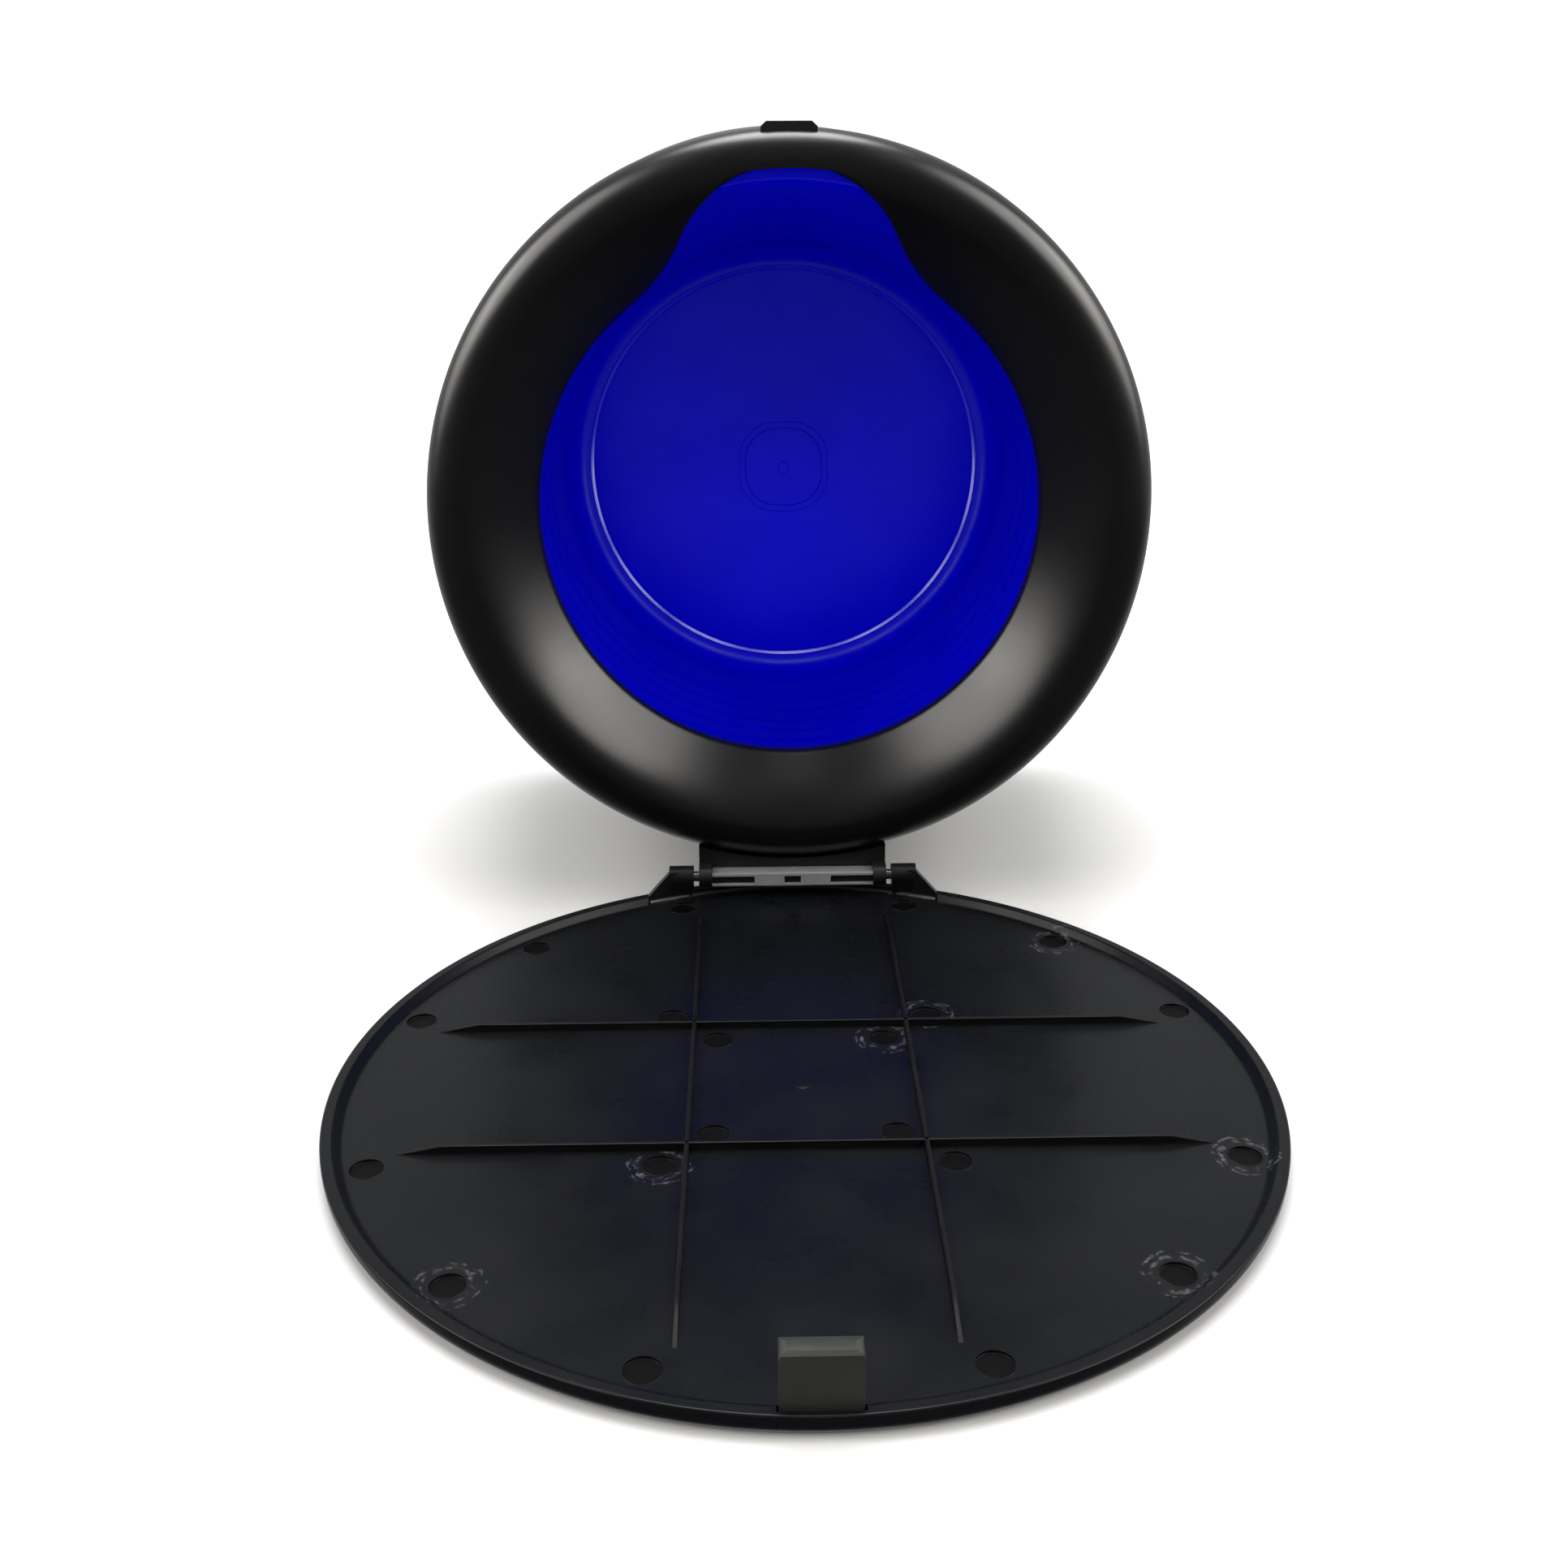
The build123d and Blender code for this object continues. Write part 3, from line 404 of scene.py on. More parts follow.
def addStressHalos(name, halo):  # whitened, broken rings round the ejector marks that stuck in the tool
    material, tree, parts = plastics[name]
    flat = addNode(tree, "ShaderNodeVectorMath", {"operation": "MULTIPLY"}, {0: parts["place"], 1: (1, 1, 0)})
    nearest = None
    for x, y in halo["places"]:
        far = addNode(tree, "ShaderNodeVectorMath", {"operation": "DISTANCE"},
                      {0: flat.outputs[0], 1: (x * mm, y * mm, 0)})
        nearest = far.outputs["Value"] if nearest is None else addNode(
            tree, "ShaderNodeMath", {"operation": "MINIMUM"}, {0: nearest, 1: far.outputs["Value"]}).outputs[0]
    ragged = addNode(tree, "ShaderNodeTexNoise", None,
                     {"Vector": parts["place"], "Scale": 1 / (halo["ragged"] * mm), "Detail": 2.0})
    pushed = addNode(tree, "ShaderNodeMath", {"operation": "MULTIPLY_ADD"},
                     {0: ragged.outputs[0], 1: -halo["push"] * mm, 2: nearest})
    ring = None
    for radius, width in halo["rings"]:
        off = addNode(tree, "ShaderNodeMath", {"operation": "SUBTRACT"}, {0: pushed.outputs[0], 1: radius * mm})
        size = addNode(tree, "ShaderNodeMath", {"operation": "ABSOLUTE"}, {0: off.outputs[0]})
        line = addNode(tree, "ShaderNodeMapRange", {"clamp": True, "interpolation_type": "SMOOTHSTEP"},
                       {"Value": size.outputs[0], "From Min": width * mm, "From Max": 0.0, "To Max": 1.0})
        ring = line.outputs[0] if ring is None else addNode(
            tree, "ShaderNodeMath", {"operation": "MAXIMUM"}, {0: ring, 1: line.outputs[0]}).outputs[0]
    chance = addNode(tree, "ShaderNodeTexNoise", None,
                     {"Vector": parts["place"], "Scale": 1 / (halo["patch"] * mm), "Detail": 3.0,
                      "Roughness": 0.7})
    picked = addNode(tree, "ShaderNodeMapRange", {"clamp": True},
                     {"Value": chance.outputs[0], "From Min": 0.48, "From Max": 0.68, "To Max": halo["amount"]})
    amount = addNode(tree, "ShaderNodeMath", {"operation": "MULTIPLY"}, {0: ring, 1: picked.outputs[0]})
    whitened = addNode(tree, "ShaderNodeMix", {"data_type": "RGBA"},
                       {0: amount.outputs[0], 6: parts["colour"].outputs[2], 7: hexColour(halo["colour"])})
    tree.links.new(whitened.outputs[2], parts["shader"].inputs["Base Color"])


def steelFinish(name, look):  # bright zinc-plated or ground steel: streaked, with tiny dull spots
    material = bpy.data.materials.new(name)
    material.use_nodes = True
    tree = material.node_tree
    tree.nodes.clear()
    place = addNode(tree, "ShaderNodeTexCoord").outputs["Object"]
    streak = addNode(tree, "ShaderNodeMapping", None, {"Vector": place, "Scale": look["stretch"]})
    lines = addNode(tree, "ShaderNodeTexNoise", None,
                    {"Vector": streak.outputs[0], "Scale": 1 / (look["line"] * mm), "Detail": 3.0})
    spots = addNode(tree, "ShaderNodeTexNoise", None, {"Vector": place, "Scale": 1 / (1.2 * mm), "Detail": 4.0})
    colour = addNode(tree, "ShaderNodeMix", {"data_type": "RGBA"},
                     {0: spots.outputs[0], 6: hexColour(look["dark"]), 7: hexColour(look["light"])})
    rough = addNode(tree, "ShaderNodeMapRange", {"clamp": True},
                    {"Value": lines.outputs[0], "From Min": 0.3, "From Max": 0.7, "To Min": 0.2, "To Max": 0.4})
    bump = addNode(tree, "ShaderNodeBump", None,
                   {"Strength": 0.15, "Distance": 0.02 * mm, "Height": lines.outputs[0]})
    shader = addNode(tree, "ShaderNodeBsdfPrincipled", None,
                     {"Base Color": colour.outputs[2], "Metallic": 1.0, "Roughness": rough.outputs[0],
                      "Normal": bump.outputs[0]})
    addNode(tree, "ShaderNodeOutputMaterial", None, {"Surface": shader.outputs[0]})
    return material


pinSteel = steelFinish("pinSteel", {"dark": "A9ABAE", "light": "CDCFD2", "line": 0.3, "stretch": (1, 8, 8)})
screwZinc = steelFinish("screwZinc", {"dark": "9EA0A6", "light": "C6C8CE", "line": 0.4, "stretch": (1, 1, 1)})
print("finishes made")

# lid
lid = {"radius": 90.0, "floor": 2.6, "rimTop": 4.2, "rimInner": 87.9, "floorEdge": 86.4, "underRound": 2.8,
       "rimRound": 0.45, "footRound": 0.9, "flatInside": 84.5, "steps": 360}
bracket = {"halfWidth": 34.4, "wallInner": 88.0, "footInner": 80.0, "footHalf": 30.0, "footThickness": 1.2,
           "wallFoot": 1.0}
tongue = {"width": 12.3, "sideGap": 0.35, "back": -85.85, "front": -88.9, "pivotHeight": 2.0, "thickness": 2.0}
marks = {"radius": 3.0, "depth": 0.5, "inner": (16.8, 26.3), "ring": 82.35, "angles": (18.5, 45.0, 71.5),
         "faceGap": 0.15}


def boxMesh(name, low, high):
    mesh = bpy.data.meshes.new(name)
    work = bmesh.new()
    bmesh.ops.create_cube(work, size=1.0)
    for vert in work.verts:
        vert.co = Vector([low[i] + (vert.co[i] + 0.5) * (high[i] - low[i]) for i in range(3)]) * mm
    work.to_mesh(mesh)
    work.free()
    return mesh


def makeLid():
    line = roundedLine([(lid["flatInside"], 0, 0), (lid["radius"], 0, lid["underRound"]),
                        (lid["radius"], lid["rimTop"], lid["rimRound"]),
                        (lid["rimInner"], lid["rimTop"], lid["rimRound"]),
                        (lid["floorEdge"], lid["floor"], lid["footRound"]), (lid["flatInside"], lid["floor"], 0)])
    piece = addPiece("lidPlate", ringMesh("lidPlate", turnedRings(line, lid["steps"]), lidSpace, caps=True))
    # the rear sector of the rim leaves room for the hinge bracket
    half, top = bracket["halfWidth"], lid["rimTop"] + 1
    sector = roundedLine([(bracket["wallInner"], -1, 0), (lid["radius"] + 2, -1, 0), (lid["radius"] + 2, top, 0),
                          (lid["floorEdge"] - 0.6, top, 0), (lid["floorEdge"] - 0.6, lid["floor"], 0),
                          (bracket["wallInner"], lid["floor"], 0)])
    cutter = addPiece("sector", ringMesh("sector", turnedRings(sector, 720), lidSpace, closed=True))
    keep = addPiece("keep", boxMesh("keep", (-half, 0, -5), (half, 120, 20)))
    limit = cutter.modifiers.new("limit", "BOOLEAN")
    limit.object, limit.operation, limit.solver = keep, "INTERSECT", "EXACT"
    mesh = evaluatedMesh(cutter)
    cutter.modifiers.clear()
    cutter.data = mesh
    dropPiece(keep)
    cutAway(piece, cutter)
    recess = addPiece("recess", boxMesh("recess", (-bracket["footHalf"], bracket["footInner"], -1),
                                        (bracket["footHalf"], 92, bracket["footThickness"])))
    cutAway(piece, recess)
    reach = tongue["width"] / 2 + tongue["sideGap"]
    slot = addPiece("slot", boxMesh("slot", (-reach, tongue["front"], tongue["pivotHeight"] - 1.0),
                                    (reach, tongue["back"], lid["rimTop"] + 1)))
    cutAway(piece, slot)
    return piece


def ringMark(angle):
    return marks["ring"] * math.cos(math.radians(angle)), marks["ring"] * math.sin(math.radians(angle))


def markPlaces(low=0.0):  # four inner pairs and three on the ring in each quarter, sunk by low
    places = []
    for across in (-1, 1):
        for along in (-1, 1):
            spots = [(o, o) for o in marks["inner"]] + [ringMark(angle) for angle in marks["angles"]]
            places += [(across * x, along * y, lid["floor"] - low, 0.0) for x, y in spots]
    return places


stuckInner, stuckOuter = marks["inner"]
stuckMarks = [ringMark(a) for a in (225, 315, 341.5, 45)]
stuckMarks += [(stuckOuter, stuckOuter), (stuckInner, stuckInner), (-stuckOuter, -stuckOuter)]
addStressHalos("lidAbs", {"places": stuckMarks, "rings": ((3.2, 0.7), (4.5, 0.45)), "ragged": 1.6, "push": 2.2,
                          "patch": 2.2, "amount": 0.15, "colour": "A9ACB2"})

lidPlate = makeLid()
dish = roundedLine([(0, -marks["depth"], 0), (marks["radius"], -marks["depth"], 0.1), (marks["radius"], 0.6, 0),
                    (0, 0.6, 0)], guard=0.02)
cutAway(lidPlate, setOnPoints("markCutter", turnedTemplate("dish", dish, 48), markPlaces(), lidSpace,
                              finishOf("lidAbs")))
lidPlate.data.polygons.foreach_set("use_smooth", [True] * len(lidPlate.data.polygons))
lidPlate.data.set_sharp_from_angle(angle=math.radians(30))
rideAs(lidPlate, "lid", "lid_black", finishOf("lidAbs"), "lid_plate")

# the pins' smooth faces lie at the bottom of the marks, darker than the lid: painted shade in the recesses
faceRadius = marks["radius"] - marks["faceGap"]
pinFace = roundedLine([(0, 0.02, 0), (faceRadius, 0.02, 0.02), (faceRadius, -0.1, 0), (0, -0.1, 0)], guard=0.01)
rideAs(setOnPoints("ejectorPinFaces", turnedTemplate("face", pinFace, 48), markPlaces(marks["depth"]), lidSpace,
                   finishOf("pinFaceAbsShaded")), "lid", "lid_black", finishOf("pinFaceAbsShaded"))

# a thin raised witness line stands round every ejector mark
witness = roundedLine([(3.01, -0.05, 0), (3.02, 0.05, 0.02), (3.12, 0.05, 0.02), (3.2, -0.05, 0)], guard=0.01)
rideAs(setOnPoints("ejectorWitnessLines", turnedTemplate("witness", witness, 64, closed=True), markPlaces(),
                   lidSpace, finishOf("lidAbs")), "lid", "lid_black", finishOf("lidAbs"))

ribs = {"offset": 21.6, "halfLength": 73.5, "runOut": 8.0, "height": 1.7, "thickness": 0.8, "flare": 0.12}


def makeRibTemplate():
    half, top, flare = ribs["thickness"] / 2, ribs["height"], ribs["flare"]
    side = [(half + flare, -0.06), (half + flare * 0.45, 0.04), (half, 0.16),
            (half, top - 0.12), (half - 0.02, top - 0.04), (half - 0.08, top)]
    section = side + [(-y, z) for y, z in reversed(side)]
    stations = []
    for x in (0.0, 1.0, 2.5, 4.5, 6.8, 7.6, 8.0, 8.4, 9.4, 30.0, 60.0):
        rise = min(1.0, max(0.03, (x if x < 7.6 else 7.6 + (x - 7.6) * 0.5 if x < 8.4 else 9) / ribs["runOut"]))
        stations.append((ribs["halfLength"] - x, rise))
    stations += [(-x, rise) for x, rise in reversed(stations)]
    rings = [[(x, y, z * rise if z > 0 else z) for y, z in section] for x, rise in stations]
    return addPiece("rib", ringMesh("rib", rings, Matrix(), caps=True))


ribPlaces = [(0, side * ribs["offset"], lid["floor"], 0.0) for side in (-1, 1)]
ribPlaces += [(side * ribs["offset"], 0, lid["floor"], math.pi / 2) for side in (-1, 1)]
# the ribs wear the darker copy of the lid's ABS: painted shade on their narrow sides
rideAs(setOnPoints("lidRibs", makeRibTemplate(), ribPlaces, lidSpace, finishOf("ribAbsShaded")),
       "lid", "lid_black", finishOf("ribAbsShaded"))

# what is left of the sprue in the middle: a low broken stub
gate = roundedLine([(0, 0.2, 0), (0.9, 0.17, 0.5), (1.5, 0.08, 0.5), (2.0, -0.05, 0), (0, -0.05, 0)], guard=0.01)
gateRings = turnedRings(gate, 40, lambda r, a: r * (1 + 0.05 * math.sin(3 * a + 1)))
gateSpace = Matrix.Translation((0, 0, lid["floor"] * mm)) @ lidSpace
rideAs(addPiece("gateStub", ringMesh("gateStub", gateRings, gateSpace)), "lid", "lid_black", finishOf("lidAbs"))
print("lid made")

# hinge, tongue and catch: small moulded parts with softened edges
rideAs(softEdged("hinge_bracket", "hingeBracket", 0.22), "lid", "bracket_black", finishOf("bracketAbs"),
       "hinge_bracket")


def makeWallFoot():  # the hollow fillet where the bracket's wall meets the lid's floor
    low, size, wall = lid["floor"], bracket["wallFoot"], bracket["wallInner"]
    arc = [math.radians(a) for a in range(0, 91, 10)]
    line = [(wall - size + size * math.sin(a), low + size - size * math.cos(a)) for a in arc]
    section = [(line[0][0], low - 0.05)] + line + [(wall + 0.04, line[-1][1]), (wall + 0.04, low - 0.05)]
    reach = math.degrees(math.asin((bracket["halfWidth"] - 0.3) / wall))
    turns = [math.radians(90 - reach + 2 * reach * k / 60) for k in range(61)]
    rings = [[(r * math.cos(turn), r * math.sin(turn), z) for r, z in section] for turn in turns]
    return addPiece("bracketWallFoot", ringMesh("bracketWallFoot", rings, lidSpace, caps=True), 40)


# the fillet strip wears a lighter copy of the bracket's ABS: painted highlight besides its real gloss
rideAs(makeWallFoot(), "lid", "bracket_black", finishOf("bracketFootAbsLit"))
rideAs(softEdged("latch_tongue", "latchTongue", 0.22), "latch", "tongue_black", finishOf("tonguePolypropylene"),
       "latch_tongue")
rideAs(softEdged("hinge_arm", "hingeArm", 0.25), "head", "arm_black", finishOf("armNylon"), "hinge_arm")
rideAs(softEdged("hinge_bar", "hingeBar", 0.12), "head", "bar_grey", finishOf("barNylon"), "hinge_bar")
rideAs(softEdged("catch_plate", "catchPlate", 0.15), "head", "shell_black", finishOf("shellAbs"), "catch_plate")


bar = {"pocketShadeSpans": ((-19.25, -9.15), (-1.95, 1.95), (9.15, 19.25)), "faceUp": (-1.25, 0.45),
       "faceOut": (1.04, 1.3)}


def makePocketFaces():  # black sheets at the backs of the bar's two pockets and of the square hole in its middle: painted shade
    points, faces = [], []
    low, high = bar["faceUp"]
    for x0, x1 in bar["pocketShadeSpans"]:
        start = len(points)
        points += [(x, up, out) for out in bar["faceOut"]
                   for x, up in ((x0, low), (x1, low), (x1, high), (x0, high))]
        faces += [tuple(start + i for i in face) for face in
                  ((0, 1, 2, 3), (4, 7, 6, 5), (0, 4, 5, 1), (1, 5, 6, 2), (2, 6, 7, 3), (3, 7, 4, 0))]
    mesh = bpy.data.meshes.new("barPocketFaces")
    hingeSpace = Matrix.Translation(Vector(headHinge["pos_m"])) @ headTurn.to_4x4() @ Matrix.Scale(mm, 4)
    mesh.from_pydata([hingeSpace @ Vector(p) for p in points], [], faces)
    return addPiece("barPocketFaces", mesh)


# black sheets in the bar's pockets, in the arm's black finish: painted shade
rideAs(makePocketFaces(), "head", "bar_grey", finishOf("armNylon"))
for pinName, pieceName in (("hinge_pin_left", "hingePinLeft"), ("hinge_pin_right", "hingePinRight")):
    rideAs(softEdged(pinName, pieceName, 0.08), "lid", "pin_steel", pinSteel, pinName)
print("hinge and latch made")

# splash collar
collar = {"radius": 82.0, "skirt": 5.5, "roundBack": 3.0, "wall": 1.8, "crest": (73.5, 4.5),
          "funnelEnd": (56.0, -9.6), "sidePull": (2.0, 1.5), "funnelPull": (0.55, 1.0), "mouth": 57.5,
          "spout": 26.0, "spoutTip": 74.3, "blend": 40.0, "lipRound": 0.75, "steps": 720,
          "ribInner": 75.0, "ribOuter": 77.0, "ribEnd": -8.8, "ribRoot": 2.2}


def keyholeRadius(angle):  # the mouth's edge at an angle about the bowl's axis; the spout points up
    aside = abs((math.degrees(angle) - 90 + 180) % 360 - 180)     # degrees away from the spout
    centre = collar["spoutTip"] - collar["spout"]
    toMouth, toSpout = collar["mouth"] + collar["blend"], collar["spout"] + collar["blend"]
    blendUp = (toMouth ** 2 - toSpout ** 2 + centre ** 2) / (2 * centre)
    blendOut = math.sqrt(toMouth ** 2 - blendUp ** 2)
    mouthAside = math.degrees(math.atan2(blendOut, blendUp))
    touchOut = blendOut * collar["spout"] / toSpout
    touchUp = centre + (blendUp - centre) * collar["spout"] / toSpout
    spoutAside = math.degrees(math.atan2(touchOut, touchUp))
    turn = math.radians(aside)
    if aside >= mouthAside:
        return collar["mouth"]
    if aside <= spoutAside:
        return centre * math.cos(turn) + math.sqrt(collar["spout"] ** 2 - (centre * math.sin(turn)) ** 2)
    off = turn - math.radians(mouthAside)
    return toMouth * math.cos(off) - math.sqrt(collar["blend"] ** 2 - (toMouth * math.sin(off)) ** 2)


def collarLines():
    # outer and inner lines of the wall, each as (side points, funnel radii, funnel heights)
    made = []
    for inset in (0.0, collar["wall"]):
        radius = collar["radius"] - inset
        crest = (collar["crest"][0], collar["crest"][1] - inset)
        slope = math.sqrt(0.5)
        end = (collar["funnelEnd"][0] + inset * slope, collar["funnelEnd"][1] - inset * slope)
        rise = crest[1] + collar["roundBack"]
        run = math.hypot(crest[0] - end[0], crest[1] - end[1])
        upPull, overPull = rise * collar["sidePull"][0], (radius - crest[0]) * collar["sidePull"][1]
        side = hermiteLine((radius, -collar["roundBack"]), crest, (0, upPull), (-overPull, 0), 18)
        inPull, downPull = run * collar["funnelPull"][0], slope * run * collar["funnelPull"][1]
        funnel = hermiteLine(crest, end, (-inPull, 0), (-downPull, -downPull), 300)
        radii = np.array([p[0] for p in funnel])[::-1]
        heights = np.array([p[1] for p in funnel])[::-1]
        made.append((side, radii, heights))
    return made


def makeCollar():
    (outerSide, outerRadii, outerHeights), (innerSide, innerRadii, innerHeights) = collarLines()
    lip, low = collar["lipRound"], -collar["skirt"]

    def bend(a, b, c, count=6):
        return [tuple((1 - s) ** 2 * a[i] + 2 * s * (1 - s) * b[i] + s * s * c[i] for i in (0, 1))
                for s in [k / count for k in range(count + 1)]]

    columns = []
    for k in range(collar["steps"]):
        angle = 2 * math.pi * k / collar["steps"]
        mouth = keyholeRadius(angle)

        def outer(r):
            return float(np.interp(r, outerRadii, outerHeights))

        def inner(r):
            return float(np.interp(r, innerRadii, innerHeights))

        start = collar["crest"][0]
        line = bend((collar["radius"] - 0.3, low), (collar["radius"], low), (collar["radius"], low + 0.3), 3)
        line += [(collar["radius"], low + 0.6), (collar["radius"], -collar["roundBack"] - 0.4)]
        line += outerSide[:-1]
        line += [(r, outer(r)) for r in (start + (mouth + lip - start) * s / 30 for s in range(31))][:-1]
        line += bend((mouth + lip, outer(mouth + lip)), (mouth, outer(mouth)), (mouth, outer(mouth) - lip))
        line += bend((mouth, inner(mouth) + 0.3), (mouth, inner(mouth)), (mouth + 0.3, inner(mouth + 0.3)), 3)
        line += [(r, inner(r)) for r in (mouth + 0.3 + (start - mouth - 0.3) * s / 20 for s in range(1, 21))]
        line += innerSide[::-1][1:]
        line += [(collar["radius"] - collar["wall"], low)]
        columns.append([(r * math.cos(angle), r * math.sin(angle), t) for r, t in line])
    points, faces = joinRings([list(ring) for ring in zip(*columns)], closed=True)
    # the ring that presses on the bowl's seal stands inside
    rib = roundedLine([(collar["ribInner"], collar["ribEnd"], 0.2), (collar["ribOuter"], collar["ribEnd"], 0.2),
                       (collar["ribOuter"], collar["ribRoot"], 0), (collar["ribInner"], collar["ribRoot"], 0)],
                      closed=True, guard=0.05)
    ribPoints, ribFaces = joinRings(turnedRings(rib, 288), closed=True)
    faces += [tuple(i + len(points) for i in face) for face in ribFaces]
    mesh = bpy.data.meshes.new("splashCollar")
    mesh.from_pydata([headSpace @ Vector(p) for p in points + ribPoints], [], faces)
    return addPiece("splashCollar", mesh, 50)


rideAs(makeCollar(), "head", "collar_black", finishOf("collarAbs"), "splash_collar")
print("collar made")

# bowl
bowl = {"mouth": 71.4, "mouthDepth": 9.8, "corner": 57.7, "floorDepth": 87.4, "floorRound": 6.0, "mouthRound": 0.8,
        "wall": 1.6, "flange": 78.2, "flangeThickness": 1.8, "groove": 52.7, "grooveWidth": 0.5, "grooveDepth": 0.4,
        "ring": 11.3, "ringCorner": 9.2, "ringWidth": 1.8, "ringDepth": 0.5, "dot": 1.5, "dotHeight": 0.35,
        "wallRings": (30.0, 36.0, 42.0, 48.0, 54.0, 60.0, 66.0), "ringRelief": 0.18, "ringSpan": 0.9,
        "ringSide": ((0.85, 0.0), (0.6, 0.25), (0.45, 0.8), (0.25, 1.0)),
        "ridge": ((-0.45, -0.06), (-0.3, 0.0), (-0.1, 0.07), (0.1, 0.16), (0.25, 0.25), (0.36, 0.27), (0.5, 0.2),
                  (0.62, -0.03)), "ridgeRoot": 0.2}


def squareRadius(angle, half, corner):  # a square of this half-width with rounded corners, as a radius
    turn = abs((math.degrees(angle) + 45) % 90 - 45)
    c, s = math.cos(math.radians(turn)), math.sin(math.radians(turn))
    inset = half - corner
    if half * s / c <= inset:
        return half / c
    return inset * (c + s) + math.sqrt(corner ** 2 - (inset * (c - s)) ** 2)


def bowlShape(radius, angle):  # pulls the rings near the floor's middle into a slightly square shape
    near = max(0.0, min(1.0, (radius - 4) / 5, (24 - radius) / 11))
    return radius * (1 + near * (squareRadius(angle, bowl["ring"], bowl["ringCorner"]) / bowl["ring"] - 1))


def bowlWallAt(depth):
    slope = (bowl["mouth"] - bowl["corner"]) / (bowl["floorDepth"] - bowl["mouthDepth"])
    return bowl["corner"] + slope * (bowl["floorDepth"] - depth)


def makeBowl():
    floor, half = -bowl["floorDepth"], bowl["ringWidth"] / 2
    ringLow, grooveLow = floor - bowl["ringDepth"], floor - bowl["grooveDepth"]
    ringIn, ringOut, grooveIn = bowl["ring"] - half, bowl["ring"] + half, bowl["groove"] - bowl["grooveWidth"]
    corners = [(0, floor + bowl["dotHeight"], 0), (bowl["dot"], floor + bowl["dotHeight"], 0.15),
               (bowl["dot"] + 0.1, floor, 0.1), (ringIn, floor, 0.12), (ringIn + 0.1, ringLow, 0.1),
               (ringOut - 0.1, ringLow, 0.1), (ringOut, floor, 0.12), (24.0, floor, 0), (40.0, floor, 0),
               (grooveIn, floor, 0.1), (grooveIn + 0.05, grooveLow, 0.08),
               (bowl["groove"] - 0.05, grooveLow, 0.08), (bowl["groove"], floor, 0.1)]
    line = roundedLine(corners + [(bowl["corner"] - 5, floor, 0)], guard=0.05)[:-1]
    wall = [(bowl["corner"] - 8, floor, 0), (bowl["corner"], floor, bowl["floorRound"])]
    wall += [(bowlWallAt(80), -80.0, 0)]
    line += roundedLine(wall, step=6, guard=0.01)[1:-1]
    ringSteps = bowl["ringSide"] + tuple((-step, share) for step, share in reversed(bowl["ringSide"]))
    for depth in sorted(bowl["wallRings"], reverse=True):
        for step, share in ringSteps:
            at = depth + step * bowl["ringSpan"]
            line.append((bowlWallAt(at) + share * bowl["ringRelief"], -at))
    under = -bowl["mouthDepth"] - bowl["flangeThickness"]
    rim = [(bowlWallAt(24), -24.0, 0), (bowl["mouth"], -bowl["mouthDepth"], bowl["mouthRound"]),
           (bowl["flange"], -bowl["mouthDepth"], 0.3), (bowl["flange"], under, 0.3),
           (bowl["mouth"] + bowl["wall"], under, 0.8),
           (bowl["corner"] + bowl["wall"], floor - bowl["wall"], bowl["floorRound"] + bowl["wall"]),
           (0, floor - bowl["wall"], 0)]
    line += roundedLine(rim, guard=0.08)
    return addPiece("crushingBowl", ringMesh("crushingBowl", turnedRings(line, 320, bowlShape), headSpace), 50)


rideAs(makeBowl(), "head", "bowl_blue", finishOf("bowlPolypropylene"), "crushing_bowl")


def makeBowlFloorEdge():  # the thin polished ridge outside the floor's groove
    edge, floor = bowl["groove"], -bowl["floorDepth"]
    line = [(edge + r, floor + up) for r, up in bowl["ridge"]]
    line += [(edge + 0.6, floor - bowl["ridgeRoot"]), (edge - 0.45, floor - bowl["ridgeRoot"])]
    mesh = ringMesh("bowlFloorEdge", turnedRings(line, 320), headSpace, closed=True)
    return addPiece("bowlFloorEdge", mesh, 60)


# the ridge wears a lighter copy of the bowl's blue: painted highlight besides its real gloss
rideAs(makeBowlFloorEdge(), "head", "bowl_blue", finishOf("bowlEdgePolypropyleneLit"))
seal = frame["nodes"]["bowl_seal"]
seal.data.materials.clear()
seal.data.materials.append(finishOf("sealRubber"))
print("bowl made")

# outer shell, base plate, feet and screws
shell = {"top": (82.0, -5.8), "base": (87.6, -93.1), "baseRound": 1.4, "depth": 94.5, "wall": 1.8,
         "flangeInner": 74.2, "flange": (-11.6, -13.4), "lip": (78.4, 80.05), "lipTop": -3.0}


